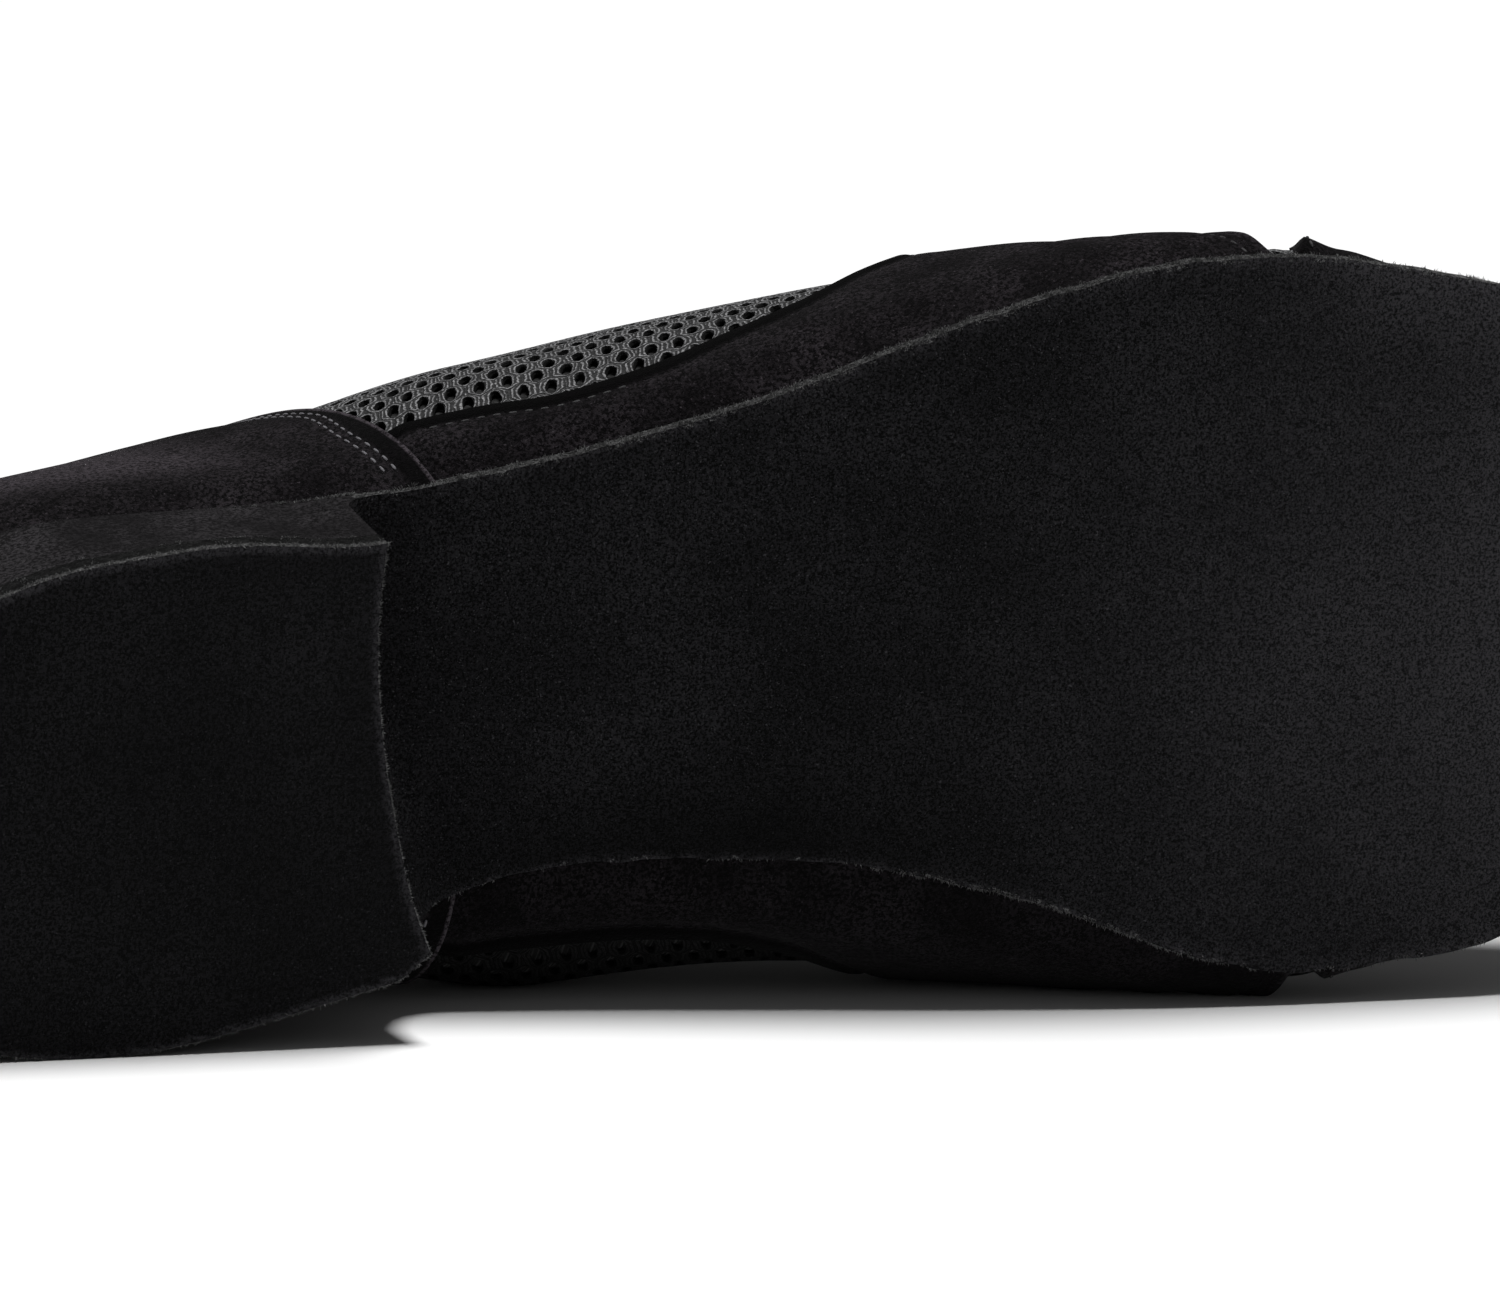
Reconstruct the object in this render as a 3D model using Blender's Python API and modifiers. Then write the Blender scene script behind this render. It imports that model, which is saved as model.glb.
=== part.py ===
"""Dance sneaker, right shoe, lying on its inner side. All pieces come from one function of the last.

The shoe is modelled standing, in millimetres: toe along +X, inner side along +Y, tread at Z = 0.
An empty then lays it on its side, so that the sole faces -Y and the outer side is up.
"""
import math

import bmesh
import bpy
from mathutils import Euler, Vector

for item in list(bpy.data.objects):
    bpy.data.objects.remove(item, do_unlink=True)

MM = 0.001
OUTER = -1
INNER = 1

# Driving sizes
LENGTH = 262.0
WALL = 1.8
SOLE = 2.0
INSOLE = 2.5
TOP_PIECE = 4.0
OVERLAY = 1.1
TONGUE = 3.0
LACE_RADIUS = 1.5
LACE_ARCH = 0.3
GAP = 0.3
OVERLAY_GAP = 0.5
HEEL_FLARE_OUTER = 0.5
HEEL_FLARE_INNER = 1.3

# Heel breast: its place, how hollow it is across, and the sole's bend at either side
BREAST = 70.0
BREAST_HOLLOW = 3.6
BEND_OUTER = 4.0
BEND_INNER = 9.0

# Throat and lacing
SADDLE_TOP = 0.80
VAMP_POINT = 0.672
THROAT_TOP = 0.455
THROAT_ROUND = 0.035
EYELETS = 5
EYELET_ROW = 0.93
TONGUE_REACH = 14.0

# Lie on the floor: roll about the toe line, then toe up, both in degrees
LIE_ROLL = 84.5
LIE_PITCH = 6.68

# Half widths of the sole on the outer and inner side, the height of its tread, and how far the upper's
# edge lies inside the sole's edge
SOLE_COLUMNS = ("at", "outer", "inner", "tread", "inset")
SOLE_ROWS = (
    (0.00, 0.0, 0.0, 20.0, 0.5),
    (0.05, 22.3, 23.3, 19.7, 0.5),
    (0.14, 28.8, 28.1, 18.9, 0.5),
    (0.25, 27.7, 24.9, 17.2, 0.5),
    (0.36, 30.3, 19.4, 13.6, 0.5),
    (0.46, 35.6, 21.4, 8.6, 0.5),
    (0.56, 43.2, 28.6, 3.6, 0.5),
    (0.65, 47.1, 39.4, 0.6, 0.6),
    (0.70, 46.4, 42.9, 0.0, 1.0),
    (0.77, 42.0, 43.3, 0.0, 1.8),
    (0.85, 35.2, 37.8, 1.5, 1.8),
    (0.93, 26.3, 29.3, 4.6, 1.6),
    (1.00, 0.0, 0.0, 10.0, 1.5),
)

# Each section of the upper is one curve from the sole's edge over the flank and crown to the top line:
# flank and rise place the first handle, crown and drop the second; lean moves a point towards the toe
UPPER_COLUMNS = ("at", "flank_outer", "flank_inner", "rise_outer", "rise_inner", "top", "half",
                 "crown_outer", "crown_inner", "drop", "lean_flank", "lean_crown", "lean_top")
UPPER_ROWS = (
    (0.00, 0.0, 0.0, 20.0, 20.0, 80.0, 0.0, 0.0, 0.0, 20.0, -4.5, -2.0, 6.0),
    (0.05, 1.5, 2.0, 19.0, 19.0, 79.0, 10.5, 15.0, 16.0, 20.0, -3.0, -1.5, 3.0),
    (0.14, 3.0, 5.0, 18.0, 16.0, 75.0, 16.0, 21.5, 25.0, 20.0, -1.0, 0.0, 1.0),
    (0.25, 6.0, 15.0, 16.0, 10.0, 69.0, 21.5, 27.5, 31.0, 18.0, 0.0, 0.0, 0.0),
    (0.36, 12.0, 36.0, 16.0, 5.0, 71.0, 23.5, 33.0, 35.5, 18.0, 0.0, 0.0, 0.0),
    (0.46, 11.0, 36.0, 17.0, 6.0, 84.0, 15.5, 34.0, 34.0, 20.0, 0.0, 0.0, 0.0),
    (0.56, 5.0, 30.5, 20.0, 9.0, 73.0, 11.0, 37.5, 36.0, 15.0, 0.0, 0.0, 0.0),
    (0.65, 2.5, 18.0, 14.0, 10.0, 60.0, 8.5, 35.0, 34.0, 11.0, 0.0, 0.0, 0.0),
    (0.74, 0.5, 9.0, 10.0, 9.0, 49.0, 8.0, 27.0, 30.0, 3.0, 0.0, 0.0, 0.0),
    (0.84, 0.2, 3.0, 9.0, 8.0, 38.0, 0.0, 21.0, 23.0, 2.0, 0.5, 0.0, 0.0),
    (0.93, 0.2, 1.0, 8.0, 8.0, 30.0, 0.0, 15.0, 17.0, 1.0, 1.0, -1.0, -4.0),
    (1.00, 0.0, 0.0, 7.0, 7.0, 24.5, 0.0, 0.0, 0.0, 0.5, 2.0, -3.0, -14.0),
)

# Upper edge of each saddle's suede: low along the waist, up to the eyestay at the instep
BAND_COLUMNS = ("at", "outer", "inner")
BAND_ROWS = (
    (0.20, 0.19, 0.135),
    (0.30, 0.187, 0.135),
    (0.34, 0.167, 0.125),
    (0.38, 0.144, 0.125),
    (0.42, 0.152, 0.13),
    (0.46, 0.186, 0.16),
    (0.50, 0.232, 0.25),
    (0.53, 0.298, 0.42),
    (0.55, 0.332, 0.60),
    (0.57, 0.45, 0.82),
    (0.60, 0.82, 0.82),
    (0.72, 0.82, 0.82),
)

COLOURS = {
    "mesh": ((0.085, 0.083, 0.088, 1), 0.85),
    "suede": ((0.016, 0.014, 0.016, 1), 0.95),
    "sole_suede": ((0.011, 0.011, 0.012, 1), 0.95),
    "heel_suede": ((0.030, 0.029, 0.031, 1), 0.92),
    "lining": ((0.030, 0.030, 0.032, 1), 0.90),
    "lace": ((0.012, 0.012, 0.013, 1), 0.80),
}

parts = bpy.data.collections.new("dance_sneaker")
cutters = bpy.data.collections.new("cutters")
bpy.context.scene.collection.children.link(parts)
bpy.context.scene.collection.children.link(cutters)
lie = bpy.data.objects.new("lie", None)
parts.objects.link(lie)


def turn(at):
    """Angle of a station: equal steps of it lie close together at heel and toe, where the last is round."""
    return math.acos(max(-1.0, min(1.0, 1.0 - 2.0 * at)))


def station(angle):
    return (1.0 - math.cos(angle)) / 2.0


def smooth(xs, ys, x):
    """Cubic through the points that never runs past a row; level at the ends, unless it runs out to 0."""
    if x <= xs[0]:
        return ys[0]
    if x >= xs[-1]:
        return ys[-1]
    k = max(i for i in range(len(xs) - 1) if xs[i] <= x)
    slopes = [(ys[i + 1] - ys[i]) / (xs[i + 1] - xs[i]) for i in range(len(xs) - 1)]

    def tangent(i):
        if i in (0, len(xs) - 1):
            return 0.0 if ys[i] else slopes[min(i, len(slopes) - 1)]
        before, after = slopes[i - 1], slopes[i]
        if before * after <= 0:
            return 0.0
        left, right = xs[i] - xs[i - 1], xs[i + 1] - xs[i]
        return (3 * (left + right)) / ((2 * right + left) / before + (right + 2 * left) / after)

    step = xs[k + 1] - xs[k]
    t = (x - xs[k]) / step
    start, end = tangent(k) * step, tangent(k + 1) * step
    return ((2 * t ** 3 - 3 * t ** 2 + 1) * ys[k] + (t ** 3 - 2 * t ** 2 + t) * start
            + (3 * t ** 2 - 2 * t ** 3) * ys[k + 1] + (t ** 3 - t ** 2) * end)


def read(columns, rows):
    """One function of the station for each column of a table."""
    angles = [turn(row[0]) for row in rows]
    return {name: (lambda at, ys=[row[i] for row in rows]: smooth(angles, ys, turn(at)))
            for i, name in enumerate(columns)}


sole_at = read(SOLE_COLUMNS, SOLE_ROWS)
upper_at = read(UPPER_COLUMNS, UPPER_ROWS)
band_at = read(BAND_COLUMNS, BAND_ROWS)


def sole_half(at, side):
    return sole_at["outer" if side == OUTER else "inner"](at)


def throat_half(at):
    """Half the opening at the top line; it closes in a round end at the vamp point."""
    closing = max(0.0, min(1.0, (VAMP_POINT - at) / THROAT_ROUND))
    return upper_at["half"](at) * math.sqrt(1.0 - (1.0 - closing) ** 2)


def last(at, v, side):
    """The upper's outside at a station, from the sole's edge (v = 0) to the top line (v = 1)."""
    name = "outer" if side == OUTER else "inner"
    row = {key: value(at) for key, value in upper_at.items()}
    edge = max(0.0, sole_half(at, side) - sole_at["inset"](at))
    low = sole_at["tread"](at) + SOLE + GAP
    x = at * LENGTH - sole_at["inset"](at) * at ** 16
    handles = (
        (x, edge, low),
        (x + row["lean_flank"], edge + row["flank_" + name], low + row["rise_" + name]),
        (x + row["lean_crown"], row["crown_" + name], row["top"] - row["drop"]),
        (x + row["lean_top"], throat_half(at), row["top"]),
    )
    weights = ((1 - v) ** 3, 3 * v * (1 - v) ** 2, 3 * v ** 2 * (1 - v), v ** 3)
    px, py, pz = (sum(w * h[i] for w, h in zip(weights, handles)) for i in range(3))
    return Vector((px, side * py, pz))


def off_last(at, v, side, distance):
    """A point that far outside the upper, along its normal."""
    angle = turn(at)
    along = (last(station(min(angle + 0.03, math.pi)), v, side)
             - last(station(max(angle - 0.03, 0.0)), v, side))
    up = last(at, min(v + 0.02, 1.0), side) - last(at, max(v - 0.02, 0.0), side)
    normal = up.cross(along) * side
    if at < 1e-6 or at > 1 - 1e-6:
        normal = Vector((up.z, 0.0, -up.x)) * (-1 if at < 0.5 else 1)
    return last(at, v, side) + normal.normalized() * distance


def material(name):
    colour, roughness = COLOURS[name]
    found = bpy.data.materials.get(name)
    if found:
        return found
    made = bpy.data.materials.new(name)
    made.use_nodes = True
    shader = made.node_tree.nodes["Principled BSDF"]
    shader.inputs["Base Color"].default_value = colour
    shader.inputs["Roughness"].default_value = roughness
    shader.inputs["Metallic"].default_value = 0.0
    made.diffuse_color = colour
    return made


def add(name, mesh, look, collection=parts):
    made = bpy.data.objects.new(name, mesh)
    made.data.materials.append(material(look))
    collection.objects.link(made)
    made.parent = lie
    return made


def grid_mesh(name, grids):
    """Quads over each grid of points; points that coincide are welded, and the faces turned outwards."""
    built = bmesh.new()
    for grid in grids:
        rows = [[built.verts.new(point * MM) for point in row] for row in grid]
        for a, b in zip(rows, rows[1:]):
            for i in range(len(a) - 1):
                built.faces.new((a[i], a[i + 1], b[i + 1], b[i]))
    bmesh.ops.remove_doubles(built, verts=built.verts, dist=0.02 * MM)
    bmesh.ops.dissolve_degenerate(built, edges=built.edges, dist=0.01 * MM)
    bmesh.ops.recalc_face_normals(built, faces=built.faces)
    mesh = bpy.data.meshes.new(name)
    built.to_mesh(mesh)
    built.free()
    return mesh


def face_outwards(mesh, inside):
    """Turns an open sheet's faces away from a point inside it."""
    built = bmesh.new()
    built.from_mesh(mesh)
    score = sum(face.normal.dot(face.calc_center_median() - inside * MM) * face.calc_area()
                for face in built.faces)
    if score < 0:
        bmesh.ops.reverse_faces(built, faces=built.faces)
    built.to_mesh(mesh)
    built.free()


def thicken(item, thickness, outwards, even=True):
    solid = item.modifiers.new("wall", "SOLIDIFY")
    solid.thickness = thickness * MM
    solid.offset = 1.0 if outwards else -1.0
    solid.use_even_offset = even
    solid.use_quality_normals = True
    return item


def steps(first, final, count):
    return [first + (final - first) * i / count for i in range(count + 1)]


INSIDE = Vector((0.5 * LENGTH, 0.0, 35.0))
UPPER_STEPS = 12
ANGLES = steps(0.0, turn(VAMP_POINT), 32) + steps(turn(VAMP_POINT), math.pi, 14)[1:]


def loft(name, look, below, above, collection):
    """A closed solid between two grids of points, with walls round their edges."""
    near = [[row[0] for row in below], [row[0] for row in above]]
    far = [[row[-1] for row in below], [row[-1] for row in above]]
    ends = [[below[0], above[0]], [below[-1], above[-1]]]
    return add(name, grid_mesh(name, [below, above, near, far] + ends), look, collection)


def build_upper():
    grids = [[[last(station(a), v, side) for v in steps(0.0, 1.0, UPPER_STEPS)] for a in ANGLES]
             for side in (OUTER, INNER)]
    mesh = grid_mesh("upper", grids)
    face_outwards(mesh, INSIDE)
    return thicken(add("upper", mesh, "mesh"), WALL, outwards=False)


def build_overlay(name, grids):
    mesh = grid_mesh(name, grids)
    face_outwards(mesh, INSIDE)
    return thicken(add(name, mesh, "suede"), OVERLAY, outwards=True, even=False)


def counter_front(v):
    """Front edge of the heel counter: it leans back as it rises."""
    return 0.311 - 0.055 * v


def build_heel_counter():
    grids = []
    for side in (OUTER, INNER):
        grid = []
        for part in steps(0.0, 1.0, 15):
            row = []
            for v in steps(0.02, 0.97, 9):
                at = station(turn(counter_front(v)) * part)
                row.append(off_last(at, v, side, OVERLAY_GAP))
            grid.append(row)
        grids.append(grid)
    return build_overlay("heel_counter", grids)


def saddle_front(v):
    """Front edge of a saddle: it leans back by the sole and then runs straight up to the eyestay."""
    return 0.700 - 0.08 * min(v, 0.15) - 0.02 * max(0.0, v - 0.15)


def saddle_trim(name, side):
    """What is cut away above the band's upper edge, as a thick piece of the same surface."""
    edge = band_at["outer" if side == OUTER else "inner"]
    rows = steps(0.26, BAND_ROWS[-2][0] + 0.005, 36)
    shares = steps(0.0, 1.0, 6)

    def face(distance):
        return [[off_last(at, edge(at) + (SADDLE_TOP + 0.06 - edge(at)) * share, side, distance)
                 for share in shares] for at in rows]

    made = loft(name, "suede", face(-2.0), face(OVERLAY + 3.0), cutters)
    made.hide_render = True
    made.display_type = "WIRE"
    return made


def build_saddle(name, side):
    """A side panel up to the eyestay, on the upper's own stations, less what lies above the band's edge."""
    between = [a for a in ANGLES if turn(counter_front(0.0) + 0.02) < a < turn(saddle_front(0.8) - 0.01)]
    columns = ([lambda v: counter_front(v) + (OVERLAY + GAP) / LENGTH]
               + [lambda v, a=a: station(a) for a in between] + [saddle_front])
    heights = [0.02] + [k / UPPER_STEPS for k in range(1, 10)] + [SADDLE_TOP]
    grid = [[off_last(column(v), v, side, OVERLAY_GAP) for v in heights] for column in columns]
    made = build_overlay(name, [grid])
    trim = made.modifiers.new("band_edge", "BOOLEAN")
    trim.operation = "DIFFERENCE"
    trim.solver = "EXACT"
    trim.object = saddle_trim(name + "_trim", side)
    return made


def build_eyestay(name, side):
    """Strip along the throat, above the saddle, that carries the lacing."""
    low = SADDLE_TOP + 0.02
    grid = [[off_last(at, v, side, OVERLAY_GAP) for v in steps(low, 0.985, 3)]
            for at in steps(THROAT_TOP + 0.005, VAMP_POINT - 0.012, 14)]
    return build_overlay(name, [grid])


def cap_rear(v):
    """Rear edge of the toe cap: a point at either side, further forward over the toes."""
    return 0.712 + 0.10 * max(0.0, v - 0.2) ** 1.2


def build_toe_cap():
    grids = []
    for side in (OUTER, INNER):
        grid = []
        for part in steps(0.0, 1.0, 14):
            row = []
            for v in steps(0.02, 1.0, 11):
                rear = turn(cap_rear(v))
                at = station(rear + (math.pi - rear) * part)
                row.append(off_last(at, v, side, OVERLAY_GAP))
            grid.append(row)
        for row in grid:
            row[-1].y = 0.0
        grids.append(grid)
    return build_overlay("toe_cap", grids)


def across(at, share):
    """Place across the sole at a station: share runs from -1 at the outer edge to 1 at the inner edge."""
    return share * sole_half(at, OUTER if share < 0 else INNER)


def breast_at(share):
    """Front of the heel, hollow between its two corners."""
    return BREAST - BREAST_HOLLOW * (1.0 - share ** 2)


def build_outsole():
    """A sheet along the tread from toe to breast, then round a bend and down the heel's breast."""
    columns = []
    for share in steps(-1.0, 1.0, 6):
        bend = BEND_OUTER + (BEND_INNER - BEND_OUTER) * (share + 1.0) / 2.0
        front = breast_at(share)
        start = (front + bend) / LENGTH
        top = sole_at["tread"](start)
        angles = steps(math.pi, turn(start), 24)
        column = [Vector((station(a) * LENGTH, across(station(a), share), sole_at["tread"](station(a))))
                  for a in angles]
        for angle in steps(0.0, math.pi / 2, 4)[1:]:
            x = front + bend * (1.0 - math.sin(angle))
            z = top - bend * (1.0 - math.cos(angle))
            column.append(Vector((x, across(x / LENGTH, share), z)))
        column.append(Vector((front, across(front / LENGTH, share), TOP_PIECE + GAP)))
        columns.append(column)
    mesh = grid_mesh("outsole", [columns])
    face_outwards(mesh, Vector((0.62 * LENGTH, 0.0, 400.0)))
    return thicken(add("outsole", mesh, "sole_suede"), SOLE, outwards=False)


def slab(name, look, rows, shares, low, high):
    """A closed loft whose lower and upper face are functions of row and place across."""
    below = [[low(row, share) for share in shares] for row in rows]
    above = [[high(row, share) for share in shares] for row in rows]
    return loft(name, look, below, above, parts)


def heel_point(row, share, height, back):
    """Row 0 is the back of the heel and row 1 its breast."""
    front = breast_at(share) - back
    at = station(turn(front / LENGTH) * row)
    flare = 1.0 + share * (HEEL_FLARE_INNER if share > 0 else -HEEL_FLARE_OUTER) / across(0.14, 1.0)
    return Vector((at * LENGTH, across(at, share) * flare, height(at)))


def build_heel():
    def low(row, share):
        return heel_point(row, share, lambda at: TOP_PIECE + GAP, SOLE + GAP)

    def high(row, share):
        return heel_point(row, share, lambda at: sole_at["tread"](at) + SOLE, SOLE + GAP)

    return slab("heel", "heel_suede", steps(0.0, 1.0, 11), steps(-1.0, 1.0, 6), low, high)


def build_top_piece():
    def low(row, share):
        return heel_point(row, share, lambda at: 0.0, 0.0)

    def high(row, share):
        return heel_point(row, share, lambda at: TOP_PIECE, 0.0)

    return slab("heel_top_piece", "sole_suede", steps(0.0, 1.0, 11), steps(-1.0, 1.0, 6), low, high)


def build_insole():
    inset = WALL + 2.0

    def place(row, share, height):
        at = station(row)
        x = inset + at * (LENGTH - 2.0 * inset)
        y = across(at, share) * (1.0 - inset / 30.0)
        return Vector((x, y, sole_at["tread"](x / LENGTH) + height))

    def low(row, share):
        return place(row, share, SOLE + GAP)

    def high(row, share):
        return place(row, share, SOLE + GAP + INSOLE)

    return slab("insole", "lining", steps(0.0, math.pi, 24), steps(-1.0, 1.0, 4), low, high)


def tongue_row(at):
    """Across the tongue: under one edge of the throat, over a low crest, and under the other edge."""
    under = -(WALL + 0.9)
    outer = [off_last(at, v, OUTER, under) for v in (0.80, 0.88, 0.96)]
    inner = [off_last(at, v, INNER, under) for v in (0.96, 0.88, 0.80)]
    crest = (outer[-1] + inner[0]) / 2.0
    crest.z += 0.16 * (inner[0].y - outer[-1].y) / 2.0
    return outer + [outer[-1].lerp(crest, 0.55), crest, inner[0].lerp(crest, 0.55)] + inner


def tongue_crest(at):
    return tongue_row(at)[4].z


def build_tongue():
    grid = [tongue_row(station(a)) for a in ANGLES if turn(THROAT_TOP) < a < turn(VAMP_POINT + 0.05)]
    lift = Vector((-TONGUE_REACH, 0.0, 0.30 * TONGUE_REACH))
    ends = [[Vector((p.x, p.y * (1.0 - 0.35 * share), p.z)) + lift * share for p in grid[0]]
            for share in (1.0, 0.5)]
    mesh = grid_mesh("tongue", [ends + grid])
    face_outwards(mesh, INSIDE)
    return thicken(add("tongue", mesh, "suede"), TONGUE, outwards=False)


def eyelet(number, side):
    """Where the lace leaves an eyelet: just clear of the saddle."""
    at = THROAT_TOP + 0.03 + (VAMP_POINT - THROAT_ROUND - THROAT_TOP - 0.035) * number / (EYELETS - 1)
    return off_last(at, EYELET_ROW, side, OVERLAY_GAP + OVERLAY + GAP + 1.9 * LACE_RADIUS)


def lace_crossing(start, end, side):
    """From one eyelet over both edges of the throat to another, clear of the tongue in the middle."""
    clear = OVERLAY_GAP + OVERLAY + GAP + 1.2 * LACE_RADIUS
    first = start + (end - start) * 0.22
    second = start + (end - start) * 0.78
    near = off_last(first.x / LENGTH, 1.0, side, clear)
    far = off_last(second.x / LENGTH, 1.0, -side, clear)
    middle = (near + far) / 2.0
    middle.z = max(middle.z, tongue_crest(middle.x / LENGTH) + GAP + LACE_RADIUS) + LACE_ARCH
    return [near, middle, far]


def lace_route(first_side):
    """From the lowest pair of eyelets to the top pair, crossing the tongue at each step."""
    points = [eyelet(EYELETS - 1, first_side)]
    side = first_side
    for number in range(EYELETS - 2, -1, -1):
        here = eyelet(number, -side)
        points += lace_crossing(points[-1], here, side) + [here]
        side = -side
    return points


def tube(name, points, collection):
    curve = bpy.data.curves.new(name, "CURVE")
    curve.dimensions = "3D"
    curve.bevel_depth = LACE_RADIUS * MM
    curve.bevel_resolution = 1
    curve.use_fill_caps = True
    line = curve.splines.new("POLY")
    line.points.add(len(points) - 1)
    for point, place in zip(line.points, points):
        point.co = (*(place * MM), 1.0)
    shape = bpy.data.objects.new(name + "_curve", curve)
    collection.objects.link(shape)
    graph = bpy.context.evaluated_depsgraph_get()
    mesh = bpy.data.meshes.new_from_object(shape.evaluated_get(graph))
    bpy.data.objects.remove(shape, do_unlink=True)
    return add(name, mesh, "lace", collection)


def build_lace():
    lace = tube("lace", lace_route(OUTER), parts)
    second = tube("lace_second_way", lace_route(INNER), cutters)
    ends = [eyelet(EYELETS - 1, OUTER), eyelet(EYELETS - 1, INNER)]
    bar = tube("lace_bar", [ends[0]] + lace_crossing(*ends, OUTER) + [ends[1]], cutters)
    for other in (second, bar):
        other.hide_render = True
        other.display_type = "WIRE"
        join = lace.modifiers.new(other.name, "BOOLEAN")
        join.operation = "UNION"
        join.solver = "EXACT"
        join.object = other
    return lace


def lay_down():
    """Turns the shoe onto its inner side and sets its lowest point on the floor, centred on the origin."""
    roll = Euler((math.radians(-LIE_ROLL), 0.0, 0.0)).to_matrix()
    pitch = Euler((0.0, math.radians(-LIE_PITCH), 0.0)).to_matrix()
    lie.rotation_euler = (pitch @ roll).to_euler()
    bpy.context.view_layer.update()
    graph = bpy.context.evaluated_depsgraph_get()
    points = []
    for item in parts.objects:
        if item.type == "MESH":
            shape = item.evaluated_get(graph)
            points += [shape.matrix_world @ vertex.co for vertex in shape.data.vertices]
    low = [min(point[i] for point in points) for i in range(3)]
    high = [max(point[i] for point in points) for i in range(3)]
    lie.location = (-(low[0] + high[0]) / 2.0, -(low[1] + high[1]) / 2.0, -low[2])


build_upper()
build_heel_counter()
build_saddle("saddle_outer", OUTER)
build_saddle("saddle_inner", INNER)
build_eyestay("eyestay_outer", OUTER)
build_eyestay("eyestay_inner", INNER)
build_toe_cap()
build_outsole()
build_heel()
build_top_piece()
build_insole()
build_tongue()
build_lace()
lay_down()
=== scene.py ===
"""Looks of the dance sneaker: suede, open mesh, seams, lace, floor, light and camera.

Shapes are worked out in the standing shoe's millimetres, with the same tables as the part, then laid down.
"""
import math

import bmesh
import bpy
import numpy as np
from mathutils import Matrix, Vector


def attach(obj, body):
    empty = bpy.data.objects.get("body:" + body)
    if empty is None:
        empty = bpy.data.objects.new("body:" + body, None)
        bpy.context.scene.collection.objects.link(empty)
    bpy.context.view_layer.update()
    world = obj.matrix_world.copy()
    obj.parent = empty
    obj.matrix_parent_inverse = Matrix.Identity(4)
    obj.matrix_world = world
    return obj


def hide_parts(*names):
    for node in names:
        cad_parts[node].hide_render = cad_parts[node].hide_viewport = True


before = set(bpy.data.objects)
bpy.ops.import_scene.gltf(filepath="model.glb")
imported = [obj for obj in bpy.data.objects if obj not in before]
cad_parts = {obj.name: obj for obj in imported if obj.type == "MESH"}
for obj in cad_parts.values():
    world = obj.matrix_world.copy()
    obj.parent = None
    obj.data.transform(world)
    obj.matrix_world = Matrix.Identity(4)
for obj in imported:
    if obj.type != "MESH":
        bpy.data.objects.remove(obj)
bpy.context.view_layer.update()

MM = 0.001
OUTER, INNER = -1, 1
rng = np.random.default_rng(7)

# The part's driving sizes; BREAST_FORWARD is the scene's own, and BEND_OUTER is 4.0 in the solids
LENGTH = 262.0
WALL = 1.8
SOLE = 2.0
INSOLE = 2.5
TOP_PIECE = 4.0
OVERLAY = 1.1
TONGUE = 3.0
LACE_RADIUS = 1.5
LACE_ARCH = 0.3
GAP = 0.3
OVERLAY_GAP = 0.5
HEEL_FLARE_OUTER = 0.5
HEEL_FLARE_INNER = 1.3
FLARE_FADE = 9.0
BREAST = 70.0
BREAST_HOLLOW = 3.6
BREAST_FORWARD = 2.4
BEND_OUTER = 2.4
BEND_INNER = 9.0
SADDLE_TOP = 0.80
VAMP_POINT = 0.672
THROAT_TOP = 0.455
THROAT_ROUND = 0.035
EYELETS = 5
EYELET_ROW = 0.93
EYELET_RADIUS = 1.9
TONGUE_REACH = 14.0
MIDDLE = (131.0, 0.0, 35.0)  # a point inside the upper
LIE_ROLL = 84.5
LIE_PITCH = 6.68
LIE_SHIFT = (-128.1471, -41.0304, 25.1835)

SOLE_COLUMNS = ("at", "outer", "inner", "tread", "inset")
SOLE_ROWS = (
    (0.00, 0.0, 0.0, 20.0, 0.5),
    (0.05, 22.3, 23.3, 19.7, 0.5),
    (0.14, 28.8, 28.1, 18.9, 0.5),
    (0.25, 27.7, 24.9, 17.2, 0.5),
    (0.36, 30.3, 19.4, 13.6, 0.5),
    (0.46, 35.6, 21.4, 8.6, 0.5),
    (0.56, 43.2, 28.6, 3.6, 0.5),
    (0.65, 47.1, 39.4, 0.6, 0.6),
    (0.70, 46.4, 42.9, 0.0, 1.0),
    (0.77, 42.0, 43.3, 0.0, 1.8),
    (0.85, 35.2, 37.8, 1.5, 1.8),
    (0.93, 26.3, 29.3, 4.6, 1.6),
    (1.00, 0.0, 0.0, 10.0, 1.5),
)
UPPER_COLUMNS = ("at", "flank_outer", "flank_inner", "rise_outer", "rise_inner", "top", "half",
                 "crown_outer", "crown_inner", "drop", "lean_flank", "lean_crown", "lean_top")
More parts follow.
